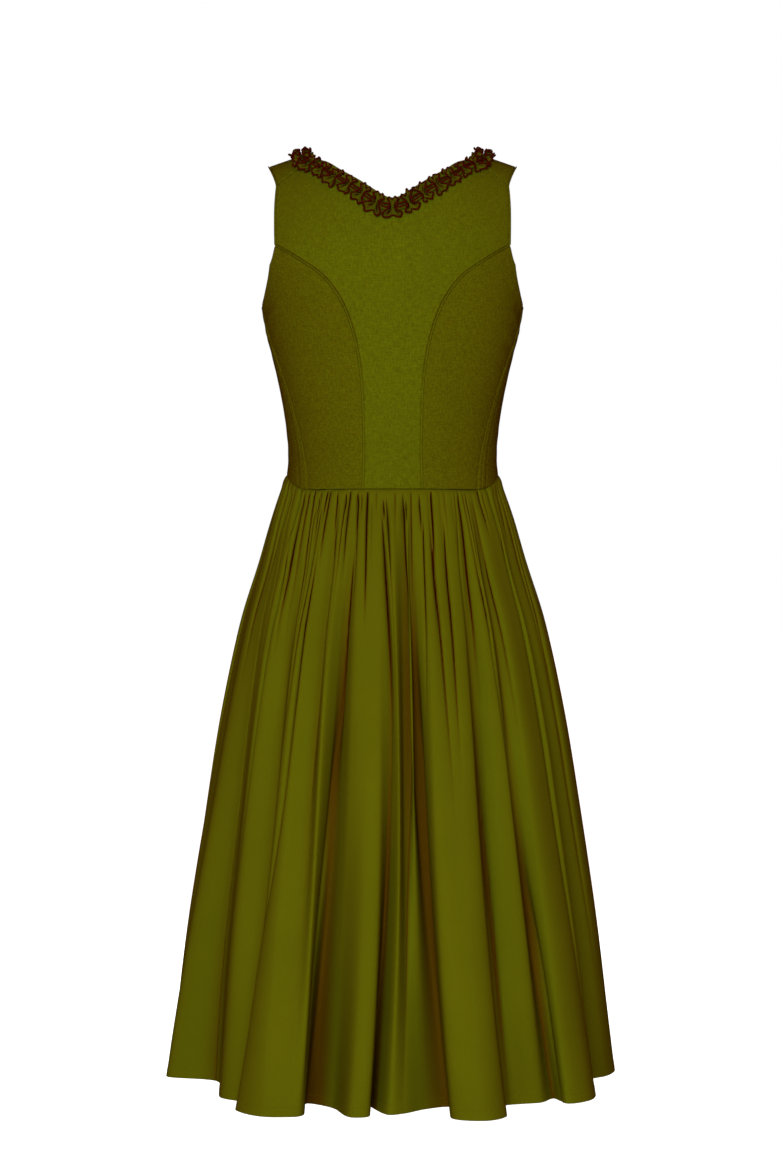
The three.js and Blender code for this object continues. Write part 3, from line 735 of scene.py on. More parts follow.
def ditch(distance):
    """The flat side of a princess seam: it dips under the welt beside it."""
    return rolled(distance, drop=1.3 * MM, reach=1.0 * MM) + fading(distance, -0.7 * MM, 1.0 * MM)


def raised_line(distance):
    """A shoulder seam: a narrow raised line on one side of it."""
    return band(distance, 0.7 * MM, start=0.9 * MM, end=1.8 * MM) + rolled(distance)


def soft_band(distance):
    """A side seam: a low band over the pressed allowance, with a shallow trough at its foot."""
    return (band(distance, 0.8 * MM, start=4.5 * MM, end=7.5 * MM)
            + bell(distance, -0.9 * MM, at=8 * MM, width=1.2 * MM)
            + rolled(distance, drop=1.8 * MM, reach=1.1 * MM))


def tucked(distance):
    """The bodice's edge at the waist seam, turned under and pressed."""
    return rolled(distance, drop=0.55 * MM, reach=0.7 * MM)


EDGES = {"free": rolled, "tuck": tucked, "welt": welt, "ditch": ditch, "line": raised_line,
         "band": soft_band}


def edge_distances(points):
    """Distance of each grid point from its first and last column and first and last row."""
    steps = np.linalg.norm(np.diff(points, axis=1), axis=2)
    first = np.pad(np.cumsum(steps, axis=1), ((0, 0), (1, 0)))
    rises = np.linalg.norm(np.diff(points, axis=0), axis=2)
    low = np.pad(np.cumsum(rises, axis=0), ((1, 0), (0, 0)))
    return {"first": first, "last": first[:, -1:] - first, "low": low, "high": low[-1:] - low}


print("edge finishes:", sorted(EDGES))

# %% Panel builder
surfaces = {}       # each cloth piece's points and their distances from its edges
BODICE_THICKNESS = 1.1 * MM
GRAIN = 0.125       # mean radius that turns an angle into metres of flat cloth
SEAMS_SOFTEN = (-0.3, -0.17)    # heights between which the seams flatten towards the waist
SOFTEST = 0.5
SHADED_DIPS = (0.2 * MM, 1.5 * MM)   # depths at which a seam dip starts to get painted shade, and gets the most
BODICE_SIDE_SHADE = 0.45             # painted shade of bodice cloth that faces straight to the side


def drawn_cloth(place):
    """Soft unevenness of a fitted bodice, in metres: shallow waves a few tenths of a millimetre
    high, above the waist and below the armholes, each a sine inside a bell."""
    angle, height = place[..., 0], place[..., 1]
    waist = bell(height, 0.2 * MM, at=-0.345, width=0.03)
    arm = 0.4 * MM * np.exp(-((np.abs(angle) - 1.35) / 0.3) ** 2 - ((height + 0.2) / 0.05) ** 2)
    return (waist * np.sin(height * 260 + 1.4 * np.cos(2 * angle))
            + arm * np.sin((height * 0.8 + np.abs(angle) * 0.06) * 300))


def bodice_panel(name, lines, edges, size, mirror=False, tone=0.0):
    """A bodice panel from its bottom, top, first and last lines, the finish of each edge, the
    number of columns and rows, and how much painted shade is added to all of its cloth."""
    bottom, top, first, last = lines
    u, v = (crowded(steps) for steps in size)
    low, high, start, end = bottom(u), top(u), first(v), last(v)
    share_u, share_v = u[None, :, None], v[:, None, None]
    across = low[None] * (1 - share_v) + high[None] * share_v
    along = start[:, None] * (1 - share_u) + end[:, None] * share_u
    corners = ((low[0] * (1 - share_u) + low[-1] * share_u) * (1 - share_v)
               + (high[0] * (1 - share_u) + high[-1] * share_u) * share_v)
    place = across + along - corners
    if mirror:
        place = place[:, ::-1] * np.array([-1, 1])
    place = place[::-1]
    points = bodice_point(place[..., 0], place[..., 1])
    distance = edge_distances(points)
    sides = {"low": edges["top"], "high": edges["bottom"],
             "first": edges["last" if mirror else "first"],
             "last": edges["first" if mirror else "last"]}
    relief = sum(EDGES[kind](distance[side]) for side, kind in sides.items())
    relief = relief * (SOFTEST + (1 - SOFTEST) * smooth_step(place[..., 1], *SEAMS_SOFTEN))
    points = points + normals_of(points) * (relief + drawn_cloth(place))[..., None]
    flat = np.stack([place[..., 0] * GRAIN, place[..., 1]], axis=2)
    surfaces[name] = (points, distance)
    # painted shade: seam dips, and cloth that faces the side, are marked to be painted browner, and
    # each side panel more
    depth = np.maximum(smooth_step(-relief, *SHADED_DIPS), painted_side_shade(points, BODICE_SIDE_SHADE) + tone)
    return cloth_sheet(name, points, flat, BODICE_THICKNESS, bodice_cloth, {"painted_shade_and_edge": depth})


print("bodice cloth is", BODICE_THICKNESS, "m thick")

# %% Make the seven panels
SIDE_PANEL_SHADE = 0.16       # painted shade added to the mark of the side panels, for the shade at the bodice's sides
# a chained line changes over to its next part at one of these shares of its length
BACK_SIDE_STOP, BACK_TOP_STOP, FRONT_SIDE_STOP, FRONT_EDGE_STOP = 8 / 12, 3 / 7, 8 / 21, 7 / 21
princess_angle = back_princess[0, 0]
front_angle = front_princess[0, 0]
panels = {}

side_line = chained(back_princess, back_armhole_upper, stops=(BACK_SIDE_STOP,))
half_top = chained(back_shoulder, back_neck, stops=(BACK_TOP_STOP,))


def back_top(shares):
    """The back's upper edge: right shoulder, the V of the neckline, left shoulder."""
    right = mirrored(half_top)(np.clip(2 * shares, 0, 1))
    left = half_top(np.clip(2 - 2 * shares, 0, 1))
    return np.where(shares[:, None] < 0.5, right, left)


panels["back_center"] = bodice_panel(
    "cloth_back_center",
    (waist_line(-princess_angle, princess_angle), back_top, mirrored(side_line), side_line),
    {"bottom": "tuck", "top": "free", "first": "welt", "last": "welt"}, (130, 150))

back_seam = chained(back_princess)
back_armhole = to_underarm(chained(back_armhole_lower))
front_seam = chained(front_princess)
front_armhole = to_underarm(chained(front_armhole_lower))
strap_side = chained(front_princess, front_armhole_upper, stops=(FRONT_SIDE_STOP,))
neck_side = chained(np.array([(np.pi, waist_height(np.pi)), (np.pi, -0.151)]), front_neck,
                    stops=(FRONT_EDGE_STOP,))
for side, mirror in (("left", False), ("right", True)):
    panels[f"back_side_{side}"] = bodice_panel(
        f"cloth_back_side_{side}",
        (waist_line(princess_angle, SIDE_SEAM_WAIST), back_armhole, back_seam, side_seam),
        {"bottom": "tuck", "top": "free", "first": "ditch", "last": "band"}, (76, 120), mirror,
        SIDE_PANEL_SHADE)
    panels[f"front_side_{side}"] = bodice_panel(
        f"cloth_front_side_{side}",
        (waist_line(SIDE_SEAM_WAIST, front_angle), backwards(front_armhole), side_seam,
         front_seam),
        {"bottom": "tuck", "top": "free", "first": "band", "last": "ditch"}, (84, 110), mirror,
        SIDE_PANEL_SHADE)
    panels[f"front_{side}"] = bodice_panel(
        f"cloth_front_{side}",
        (waist_line(front_angle, np.pi), backwards(chained(front_shoulder)), strap_side,
         neck_side),
        {"bottom": "tuck", "top": "line", "first": "welt", "last": "free"}, (64, 190), mirror)
# width and length of the smallest rectangle that each panel is cut from, and its own area
PANEL_CUTS = {"back_center": (0.36, 0.425, 0.059), "back_side": (0.165, 0.31, 0.0295),
              "front_side": (0.20, 0.29, 0.038), "front": (0.16, 0.54, 0.0345)}
for cad_name, piece in panels.items():
    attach(piece, "root")
    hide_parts(cad_name)
    width, length, area = PANEL_CUTS[cad_name.removesuffix("_left").removesuffix("_right")]
    report(piece)

# %% [markdown]
# ## The skirt's form
#
# The skirt is gathered into the waist seam and falls in folds. One level of it is a closed smooth
# curve through the crests and valleys of its folds, and going down the skirt each crest and valley
# moves along a parabola from its place at the waist, through its place half-way, to its place at
# the hem. Where a crest passes over its neighbouring valley the fold overhangs, as real ones do.

# %% Sizes of the skirt
# drop below the side of the waist seam, half width, depth
SKIRT_SECTIONS = np.array([
    (0.000, 0.1265, 0.0920),
    (0.014, 0.1330, 0.0990),
    (0.048, 0.1445, 0.1140),
    (0.102, 0.1600, 0.1340),
    (0.174, 0.1825, 0.1620),
    (0.282, 0.2060, 0.1930),
    (0.390, 0.2240, 0.2170),
    (0.534, 0.2460, 0.2440),
    (0.642, 0.2600, 0.2600),
    (0.719, 0.2700, 0.2700),
])
HEM_HEIGHT = -1.094
SKIRT_LENGTH = WAIST_SIDE - HEM_HEIGHT
SKIRT_TOP_GAP = 0.4 * MM
MID_SKIRT = 0.47              # the share of the length that "half-way" stands for
# degrees from the centre back towards the wearer's left at the waist, half-way and at the hem,
# and millimetres out from the skirt's reach half-way and at the hem
SKIRT_FOLDS = np.array([
    (1, -2, 1, -2, -32), (5, 1, 8.5, -14, -80), (8, 4, 6.3, -3, -20), (12, 8, 10.5, -2, -15),
    (16, 13.5, 19, -10, -60), (21, 19.8, 29, -28, -70), (25, 22.7, 22.5, -2, -6),
    (31, 27, 25.5, -13, 6), (37, 33, 31, 0, 16), (42, 37, 39.5, -3, 5), (47, 41, 46, -17, -31),
    (56, 50, 54, -2, -28), (67, 60, 79, -15, -57), (77, 70, 87, -2, -1), (84, 79, 93, -7, -3),
    (92, 91, 100, 0, 0), (102, 102, 108, -18, -48), (112, 112, 115, 0, 4),
    (122, 122, 123, -8, -7), (131, 131, 131, -1, 6), (140, 139, 139, -20, -58),
    (148, 147, 149, 0, -8), (156, 155, 157, -14, -38), (164, 163, 165, 0, 8),
    (171, 171, 172, -3, 0), (180, 180, 180, -22, -60), (187, 187, 187, -1, -6),
    (194, 194, 195, -8, -18), (201, 201, 202, 0, 6), (210, 211, 212, -18, -60),
    (219, 220, 220, 0, 2), (228, 229, 229, -12, -34), (237, 237, 237, 0, 6),
    (246, 246, 245, -20, -54), (254, 255, 253, -1, 2), (263, 264, 260, -3, 3),
    (272, 272, 266, 0, -2), (283, 284, 272, -5, -14), (293, 296, 281, -24, -42),
    (298, 300, 296, -1, -9), (305, 307, 305, 0, 4), (311, 313, 311.5, -3, -6),
    (316, 317, 308.5, -16, -35), (319, 321, 315, -3, -31), (321.5, 325, 321, -8, -41),
    (324, 329.5, 326, -22, -44), (328, 334, 333.5, -2, 9), (335, 341, 339, 0, 18),
    (344, 347.5, 345.5, -2, -1), (350, 350.8, 342, -28, -66), (353, 353.2, 350, -14, -60),
    (356, 355.5, 356.5, -18, -40),
])
FOLDS = len(SKIRT_FOLDS)


def down_skirt(waist, middle, hem, s):
    """The parabola through a value at the waist, half-way down and at the hem."""
    bend = (middle - waist - (hem - waist) * MID_SKIRT) / (MID_SKIRT * (MID_SKIRT - 1))
    return waist + (hem - waist) * s + bend * s * (s - 1)


def skirt_ring(fold, s):
    """Points of the skirt at places counted in folds round it, and at shares of its length. A
    closed curve through each level's crests and valleys, with knots a square root of the distance
    apart, which keeps it from looping."""
    drop = SKIRT_LENGTH * s[:, None]
    half, deep = (smooth_column(SKIRT_SECTIONS, k, drop) for k in (1, 2))
    waist, middle, hem, middle_out, hem_out = SKIRT_FOLDS.T
    angle = np.radians(down_skirt(waist, middle, hem, s[:, None]))
    out = MM * down_skirt(0, middle_out, hem_out, s[:, None])
    knots = np.stack([(half + out) * np.sin(angle), (deep + out) * np.cos(angle)], axis=2)
    gap = np.linalg.norm(np.roll(knots, -1, axis=1) - knots, axis=2, keepdims=True) ** 0.5
    before = np.roll(gap, 1, axis=1)
    rise = np.roll(knots, -1, axis=1) - knots
    rise_before = np.roll(rise, 1, axis=1)
    tangent = rise_before / before - (rise_before + rise) / (before + gap) + rise / gap
    i = np.floor(fold).astype(int) % FOLDS
    t = (fold - np.floor(fold))[None, :, None]
    start, end = tangent[:, i] * gap[:, i], tangent[:, (i + 1) % FOLDS] * gap[:, i]
    bend = (start - rise[:, i]) * (1 - t) + (rise[:, i] - end) * t
    flat = knots[:, i] + rise[:, i] * t + t * (1 - t) * bend
    level = smooth_column(SKIRT_SECTIONS, 2, drop)
    top = seam_height(flat[..., 1] / level) - SKIRT_TOP_GAP
    z = top + (HEM_HEIGHT - top) * s[:, None]
    return np.concatenate([flat, z[..., None]], axis=2)


print("folds round the skirt:", FOLDS)

# %% [markdown]
# ## Gathers and sharp creases
#
# Two things are finer than the form. Right under the waist seam the gathering threads crowd the
# cloth into small tubes, 3.5 to 11.5 mm apart, with a sharp valley between each two; they are
# uneven, and fade out at different lengths. And the valleys of the main folds are sharper than
# a smooth curve, because there the cloth is pinched. Both are the same shape, a valley that falls
# off on both sides like the corner of a tent, and both are pushed in along the normals.

# %% Where the gathers lie
STEPS_IN_A_FOLD = 40
fine = np.linspace(0, FOLDS, FOLDS * STEPS_IN_A_FOLD + 1)
waist_ring, hem_ring = skirt_ring(fine, np.array([0.0, 1.0]))
waist_length = length_along(waist_ring)
hem_length = length_along(hem_ring)
print("waist", round(waist_length[-1], 3), "m round, hem", round(hem_length[-1], 3), "m round")

GATHER_SEED = 12
GATHER_SPACING = (3.5, 11.5)      # millimetres
MOST_GATHERS = 160                # more than the waist has room for
rng = np.random.default_rng(GATHER_SEED)
spots = np.cumsum(rng.uniform(*GATHER_SPACING, MOST_GATHERS)) * MM
spots = spots[spots < waist_length[-1] - 3 * MM]
count = len(spots)
gather_fold = np.interp(spots, waist_length, fine)
# the gathers are deepest at fold 10 and half-way round from it
crowding = 0.8 + 0.35 * np.cos(4 * np.pi * (gather_fold - 10) / FOLDS)
drift = rng.uniform(-0.3, 0.3, count)
narrow, wide = rng.uniform(0.8, 1.3, count), rng.uniform(1.4, 5.0, count)
steep_right = rng.random(count) < 0.55
deepest = rng.uniform(3, 26, count)
end = 50 + 320 * rng.random(count) ** 2
depth = (1.5 + 8.5 * rng.random(count) ** 2.5) * crowding
# columns as in the creases below
GATHERS = np.stack([gather_fold, gather_fold + drift, gather_fold + drift, np.zeros(count),
                    deepest, end, depth, np.where(steep_right, narrow, wide),
                    np.where(steep_right, wide, narrow)], axis=1)
print(len(GATHERS), "gathers")

# %% Creases placed one by one
# fold number at the waist, half-way and at the hem, counted from the centre back towards the
# wearer's left; millimetres below the seam where the crease starts, is deepest and ends; its
# depth, and its width on the wearer's right and on the wearer's left, in millimetres
CREASES = np.array([
    (10.9, 11.2, 11.9, 60, 150, 620, 12, 4, 9),
    (11.1, 11.0, 11.0, 118, 138, 165, 9, 1.8, 3),
    (8.2, 9.3, 10.0, 8, 60, 330, 5, 2, 6),
    (8.0, 8.4, 10.6, 10, 240, 700, 8, 8, 3),
    (6.5, 6.9, 7.1, 8, 130, 420, 8, 2, 9),
    (4.5, 5.1, 6.0, 15, 260, 800, 8, 2, 4),
    (1.4, 0.9, 2.2, 12, 90, 420, 7, 3, 6),
    (0.6, 0.2, 0.0, 10, 40, 120, 4, 2, 4),
    (-1.2, -1.3, -0.8, 10, 150, 760, 8, 3, 6),
    (-2.3, -3.1, -3.2, 12, 330, 800, 13, 3, 8),
    (-3.9, -3.6, -3.6, 6, 80, 300, 3.5, 2, 5),
    (-4.2, -4.9, -5.2, 14, 120, 420, 5, 3, 6),
    (-5.1, -5.3, -5.4, 12, 110, 380, 5, 2, 7),
    (-6.1, -7.0, -7.4, 10, 240, 800, 13, 2, 9),
    (-8.0, -9.6, -10.6, 12, 300, 800, 15, 2, 10),
    (-10.3, -10.8, -11.0, 16, 120, 380, 3.5, 2, 6),
    (-13.1, -12.7, -13.0, 20, 200, 800, 16, 2, 10),
    (14.6, 14.8, 15.2, 15, 240, 700, 9, 8, 3),
    (16.4, 16.1, 16.0, 8, 120, 640, 8, 3, 7),
    (18.2, 18.5, 18.1, 10, 200, 560, 6, 6, 3),
    (20.1, 20.0, 20.2, 14, 260, 760, 11, 3, 8),
    (22.3, 22.1, 22.0, 8, 110, 430, 6, 6, 2.5),
    (23.9, 24.2, 24.0, 10, 190, 640, 7, 3, 6),
    (26.6, 26.9, 27.0, 8, 150, 520, 7, 7, 3),
    (28.9, 29.0, 29.1, 12, 300, 760, 11, 3, 8),
    (31.2, 31.0, 31.1, 8, 130, 480, 7, 6, 2.5),
    (33.2, 33.0, 32.9, 14, 240, 740, 11, 3, 9),
    (35.0, 35.2, 35.1, 10, 160, 500, 6, 7, 3),
    (36.8, 37.0, 36.9, 12, 210, 640, 8, 3, 7),
])
# short ones where the gathering thread pulls
DIMPLES = np.array([
    (1.0, 0.9, 0.9, 12, 20, 42, 4.5, 1.3, 1.6),
    (-1.9, -2.0, -2.0, 12, 22, 44, 5, 1.3, 1.6),
    (-1.4, -1.5, -1.5, 18, 26, 48, 3, 1.2, 1.5),
    (5.9, 5.9, 5.9, 5, 14, 34, 3.5, 1.2, 1.5),
    (4.5, 4.5, 4.5, 4, 12, 30, 3, 1.2, 1.5),
    (8.9, 8.9, 8.9, 5, 16, 40, 4, 1.3, 1.8),
    (11.0, 11.1, 11.1, 4, 20, 60, 4.5, 1.3, 2.0),
])
print(len(CREASES), "creases and", len(DIMPLES), "dimples")

# %% Valleys
SLIT = 1.0          # width in millimetres of the pinch at the bottom of every valley, at the waist
SLIT_SHARE = 0.65   # the pinch's share of a valley's depth
ROUNDED = 0.4       # millimetres over which a valley's very bottom is round
WIDENS = 350        # millimetres of drop over which a valley becomes twice as wide
VALLEYS = np.concatenate([CREASES, DIMPLES, GATHERS])


def valley_relief(fold, arc, drop, valleys):
    """How far the valleys push each point in. Each is the corner of a tent: its depth times e to
    the minus distance over width, rounded at the very bottom, with its own width on either side
    and a narrow slit down its middle."""
    relief = np.zeros_like(arc)
    down = drop[:, None] / MM
    rows = np.arange(len(drop))
    middle_fold = (fold[0] + fold[-1]) / 2
    for waist, middle, hem, start, deepest, end, depth, right, left in valleys:
        turns = np.round((middle_fold - middle) / FOLDS) * FOLDS
        at = down_skirt(waist, middle, hem, drop / SKIRT_LENGTH) + turns
        if at.max() < fold[0] or at.min() > fold[-1]:
            continue
        column = np.clip(np.interp(at, fold, np.arange(len(fold))), 0, len(fold) - 1.001)
        first = column.astype(int)
        part = column - first
        centre = arc[rows, first] * (1 - part) + arc[rows, first + 1] * part
        off = (arc - centre[:, None]) / MM
        spread = 1 + down / WIDENS
        width = np.where(off > 0, left, right) * spread
        strength = smooth_step(down, start, deepest) * (1 - smooth_step(down, deepest, end))
        far = np.sqrt(off ** 2 + ROUNDED ** 2) - ROUNDED
        tent = (1 - SLIT_SHARE) * np.exp(-far / width) + SLIT_SHARE * np.exp(-far / (SLIT * spread))
        relief -= MM * depth * strength * tent
    return relief


print(len(VALLEYS), "valleys in all")

# %% How deep in a fold
WIDE_FOLD = 0.72    # the most that a fold wider than a slit is marked
SLIT_OPENS = (0.12, 0.3)    # drops in metres between which a slit opens into such a fold
FOLD_REACHES = ((3, 1.5), (8, 0.6), (18, 0.55), (34, 0.55))     # in columns, and its weight
STEEP = (0.02, 0.9)         # the slopes that leave no mark and a full one
NARROWEST = 0.5 * MM        # the least distance that a slope is measured over


def painted_fold_shade(points, drop):
    """Painted shade of the folds, from 0 to 1: how deep in a fold each point lies, that is how far
    the cloth on both sides of it stands out past it, over the distance to it, at four distances.
    Only a narrow slit reaches 1, and only near the waist, because light gets into the wide folds
    below."""
    outward = unit(points * np.array([1, 1, 0]))
    deepest = np.zeros(points.shape[:2])
    in_slit = 1 - (1 - WIDE_FOLD) * smooth_step(drop, *SLIT_OPENS)[:, None]
    for reach, weight in FOLD_REACHES:
        most = in_slit if reach == FOLD_REACHES[0][0] else WIDE_FOLD
        beside = np.pad(points, ((0, 0), (reach, reach), (0, 0)), mode="edge")
        one, other = beside[:, :-2 * reach], beside[:, 2 * reach:]
        over = np.sum(((one + other) / 2 - points) * outward, axis=2)
        span = np.linalg.norm(one - other, axis=2) / 2
        steep = weight * over / np.maximum(span, NARROWEST)
        deepest = np.maximum(deepest, most * smooth_step(steep, *STEEP))
    return deepest


print("a wide fold is marked up to", WIDE_FOLD)

# %% [markdown]
# ## The skirt's panels
#
# Each panel is one grid that a maker would know: it starts on the seam allowance inside the waist,
# goes down the outside, turns round the hem and ends at the hem's raw edge. At its sides two more
# columns are the seam allowances, turned in, so that no light shines through a seam. Two panels
# are pushed in and out along the same normals where they meet, or the seam would open in a valley.
# The last thing is the mark of how deep in a fold each place lies and how far it faces the side,
# which paints shade into it: browner, and darker in narrow slits.

# %% Rows and columns of a panel
LEFT_SEAM, FRONT_SEAM, RIGHT_SEAM = 12, 25, 38
SKIRT_THICKNESS = 0.5 * MM
HEM_TURN = 12 * MM
HEM_STITCH = 10.5 * MM
SKIRT_ROWS = 64
ROW_CROWDING = 1.5            # the power that crowds the rows towards the waist
HEM_CLEAR = 0.002             # share of the length left free above the hem's own rows
REACH_SAMPLES = 4000
CREASE_PULL = 0.035           # share of a panel's columns drawn to each crease
CREASE_REACH = 0.3            # in folds, how far off they are drawn from
BESIDE_SEAM = np.array([-0.02, 0, 0.02])    # fold numbers just before, on and after a seam
ALLOWANCE = ((0.2, 1.0), (0.1, 7.0))        # lean and turn in millimetres of its two columns
HEM_ROWS = np.array([16, 13.5, 12, 11.2, 10.5, 9.8, 9, 7, 4, 2, 0.8, 0]) * MM


def skirt_levels():
    """Shares of the skirt's length: crowded at the waist, and close together at the hem."""
    main = np.linspace(0, 1, SKIRT_ROWS) ** ROW_CROWDING
    hem = 1 - HEM_ROWS / SKIRT_LENGTH
    return np.concatenate([main[main < hem[0] - HEM_CLEAR], hem])


def skirt_columns(start, end, columns):
    """Fold numbers of a panel's columns: spread evenly by the mean of the seam's and the hem's
    length, and closer together at the creases."""
    reach = np.linspace(start, end, REACH_SAMPLES)
    pace = np.zeros_like(reach)
    for length in (waist_length, hem_length):
        place = np.interp(reach % FOLDS, fine, length) + length[-1] * (reach // FOLDS)
        pace += (place - place[0]) / (place[-1] - place[0])
    for middle in CREASES[:, 1]:
        turns = np.round(((start + end) / 2 - middle) / FOLDS) * FOLDS
        pace += CREASE_PULL * (1 + np.tanh((reach - middle - turns) / CREASE_REACH)) / 2
    pace = (pace - pace[0]) / (pace[-1] - pace[0])
    return np.interp(np.linspace(0, 1, columns + 1), pace, reach)


print(len(skirt_levels()), "rows in a skirt panel")

# %% Seams between two panels
def shared_normals(points, seam_folds, s):
    """A panel's normals. Those on its two seams are worked out from the skirt on both sides of the
    seam, so that two panels are pushed the same way there and no gap opens."""
    seams = [normals_of(skirt_ring(seam + BESIDE_SEAM, s))[:, 1:2] for seam in seam_folds]
    return np.concatenate([seams[0], normals_of(points)[:, 1:-1], seams[1]], axis=1)


def with_allowances(outside, normal, across):
    """Adds a panel's seam allowances: at each side two more columns, which turn straight in by a
    millimetre and then by seven, and lean a little over the seam towards the next panel's."""
    both = []
    for edge, neighbour in ((0, 1), (-1, -2)):
        beyond = unit(outside[:, edge] - outside[:, neighbour])
        both.append([outside[:, edge] + beyond * lean * MM - normal[:, edge] * turn * MM
                     for lean, turn in ALLOWANCE])
    (near, far), (other_near, other_far) = both
    turns = np.array([turn for _, turn in ALLOWANCE]) * MM
    outside = np.concatenate([far[:, None], near[:, None], outside, other_near[:, None],
                              other_far[:, None]], axis=1)
    across = np.concatenate([across[0] - turns[::-1], across, across[-1] + turns])
    return outside, np.pad(normal, ((0, 0), (2, 2), (0, 0)), mode="edge"), across


print("seam allowance, in millimetres:", ALLOWANCE[-1][1])

# %% Skirt panel builder
WAIST_ROWS = ((2.6, 6.0), (2.4, 2.0))   # millimetres in and up of the waist's seam allowance
HEM_BEHIND = (-3, -5, -9)               # rows of the outside that the turned hem lies behind
HEM_DEPTH = 1.3 * MM
SKIRT_SIDE_SHADE = 0.35                      # painted shade of skirt cloth that faces straight to the side


def sewn_relief(drop, distance):
    """What the sewing does to the skirt, in metres outwards: a tuck at the waist seam and a puff
    below it, the doubled hem with a groove along its stitches, and a dip at each side seam."""
    rise = SKIRT_LENGTH - drop
    rows = (fading(drop, -0.5 * MM, 0.4 * MM) + bell(drop, 1.5 * MM, at=6 * MM, width=6 * MM)
            + band(rise, 0.35 * MM, HEM_STITCH, HEM_TURN + 1.2 * MM)
            + bell(rise, -0.3 * MM, at=HEM_STITCH, width=0.55 * MM))
    return rows[:, None] + sum(fading(distance[side], -0.45 * MM, 0.9 * MM)
                               for side in ("first", "last"))


def skirt_panel(name, start, end, columns):
    """One skirt panel between two seams given as fold numbers. The grid starts on the seam
    allowance inside the waist, goes down the outside to the hem, over the fold, and up the inside
    to the hem's raw edge."""
    fold = skirt_columns(start, end, columns)
    s = skirt_levels()
    drop = s * SKIRT_LENGTH
    points = skirt_ring(fold, s)
    distance = edge_distances(points)
    relief = valley_relief(fold, distance["first"], drop, VALLEYS)
    push = (relief + sewn_relief(drop, distance))[..., None]
    outside = points + shared_normals(points, (start, end), s) * push
    surfaces[name] = (outside, distance)
    # painted shade: folds, and cloth that faces the side, are marked to be painted browner, and
    # narrow slits darker
    depth = np.maximum(painted_fold_shade(outside, drop), painted_side_shade(outside, SKIRT_SIDE_SHADE))
    depth = np.pad(depth, ((2, 4), (2, 2)), mode="edge")
    across = np.interp(fold % FOLDS, fine, hem_length) + hem_length[-1] * (fold // FOLDS)
    normal = shared_normals(outside, (start, end), s)
    outside, normal, across = with_allowances(outside, normal, across)
    allowance = [outside[0] - normal[0] * lift * MM + np.array([0, 0, up * MM])
                 for lift, up in WAIST_ROWS]
    turned = [outside[-1] - normal[-1] * 1.0 * MM - np.array([0, 0, 0.3 * MM])]
    turned += [outside[row] - normal[row] * HEM_DEPTH for row in HEM_BEHIND]
    grid = np.concatenate([np.stack(allowance), outside, np.stack(turned)])
    down = np.concatenate([[-6 * MM, -2 * MM], drop, SKIRT_LENGTH + np.array([1, 3, 6, 12]) * MM])
    flat = np.stack(np.broadcast_arrays(across[None, :], -down[:, None]), axis=2)
    return cloth_sheet(name, grid, flat, SKIRT_THICKNESS, skirt_cloth, {"painted_shade_and_edge": depth})


print("skirt cloth is", SKIRT_THICKNESS, "m thick")

# %% Make the three skirt panels
BACK_COLUMNS, FRONT_COLUMNS = 612, 310
skirts = {
    "skirt_back": skirt_panel("cloth_skirt_back", RIGHT_SEAM, LEFT_SEAM + FOLDS, BACK_COLUMNS),
    "skirt_front_left": skirt_panel("cloth_skirt_front_left", LEFT_SEAM, FRONT_SEAM,
                                    FRONT_COLUMNS),
    "skirt_front_right": skirt_panel("cloth_skirt_front_right", FRONT_SEAM, RIGHT_SEAM,
                                     FRONT_COLUMNS),
}
for cad_name, piece in skirts.items():
    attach(piece, "root")
    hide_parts(cad_name)
    report(piece)

# %% [markdown]
# ## The frog-mouth ruche
#
# A frog-mouth ruche is a strip of the dress cloth with overlocked edges, laid in box pleats and
# stitched down along its middle. Then each pleat's edges are caught together, so that between two
# knots the strip opens like a mouth, and above and below each knot it spreads into a fan with a
# scalloped edge. One unit is given by three lines: the strip's sewn middle, the belly of the cloth
# and its free edge. The cloth between them is a parabola, and every unit is a little different.

# %% One unit of the ruche
# Half a unit, from the middle of a mouth to the middle of a fan, in millimetres from the knot:
# along, outwards and up, of the sewn middle, the belly and the free edge
RUCHE_HALF = np.array([
    ((-9.7, 0.0, 0.4), (-9.7, 8.2, 2.2), (-9.7, 1.8, 6.4)),
    ((-6.2, 0.0, 0.5), (-7.6, 7.4, 3.2), (-6.6, 2.2, 7.0)),
    ((-3.0, 0.0, 0.7), (-6.2, 6.0, 4.4), (-3.3, 1.3, 6.2)),
    ((-1.5, 0.2, 0.9), (-4.2, 5.2, 5.6), (-6.0, 5.4, 7.4)),
    ((-0.9, 0.3, 1.1), (-4.4, 5.4, 5.6), (-8.6, 8.4, 7.2)),
    ((-0.7, 0.3, 0.9), (-3.2, 5.6, 1.2), (-6.9, 10.9, 3.4)),
    ((-0.5, 0.4, 1.2), (-2.4, 6.8, 4.2), (-4.2, 12.9, 5.4)),
    ((0.0, 0.5, 0.8), (0.0, 5.0, 0.4), (0.0, 9.0, 1.2)),
])
RUCHE_PITCH = 20.4 * MM
RUCHE_MIDDLE = 13.4 * MM      # from the neck edge to the sewn middle
RUCHE_LIFT = 0.5 * MM
RUCHE_THICKNESS = 0.45 * MM
UNEVEN = 0.75                 # millimetres that a station strays
UNEVEN_SIZE = 0.09            # share by which a unit's size strays
UPPER_FAN = np.array([0.88, -0.86, 0.85])   # the upper side: smaller, and spread the other way
# the pleat lines that run out from each knot: stations from the middle of the mouth
PLEAT_STATIONS = np.array([2.6, 5.0, 9.0, 11.4])
STATION_STEPS = 4
BELLY_STEPS = 6
STEP_OF_CLOTH = 1.4 * MM      # the cloth between two columns of the strip
HALF_WIDTH = 13 * MM


def ruche_unit(scale):
    """A whole unit's stations: the half and its mirror image, without the last one, which is the
    next unit's first."""
    half = RUCHE_HALF * scale
    other = half[-2:0:-1] * np.array([-1, 1, 1])
    return np.concatenate([half, other])


print("stations in a unit:", len(ruche_unit(np.ones(3))))

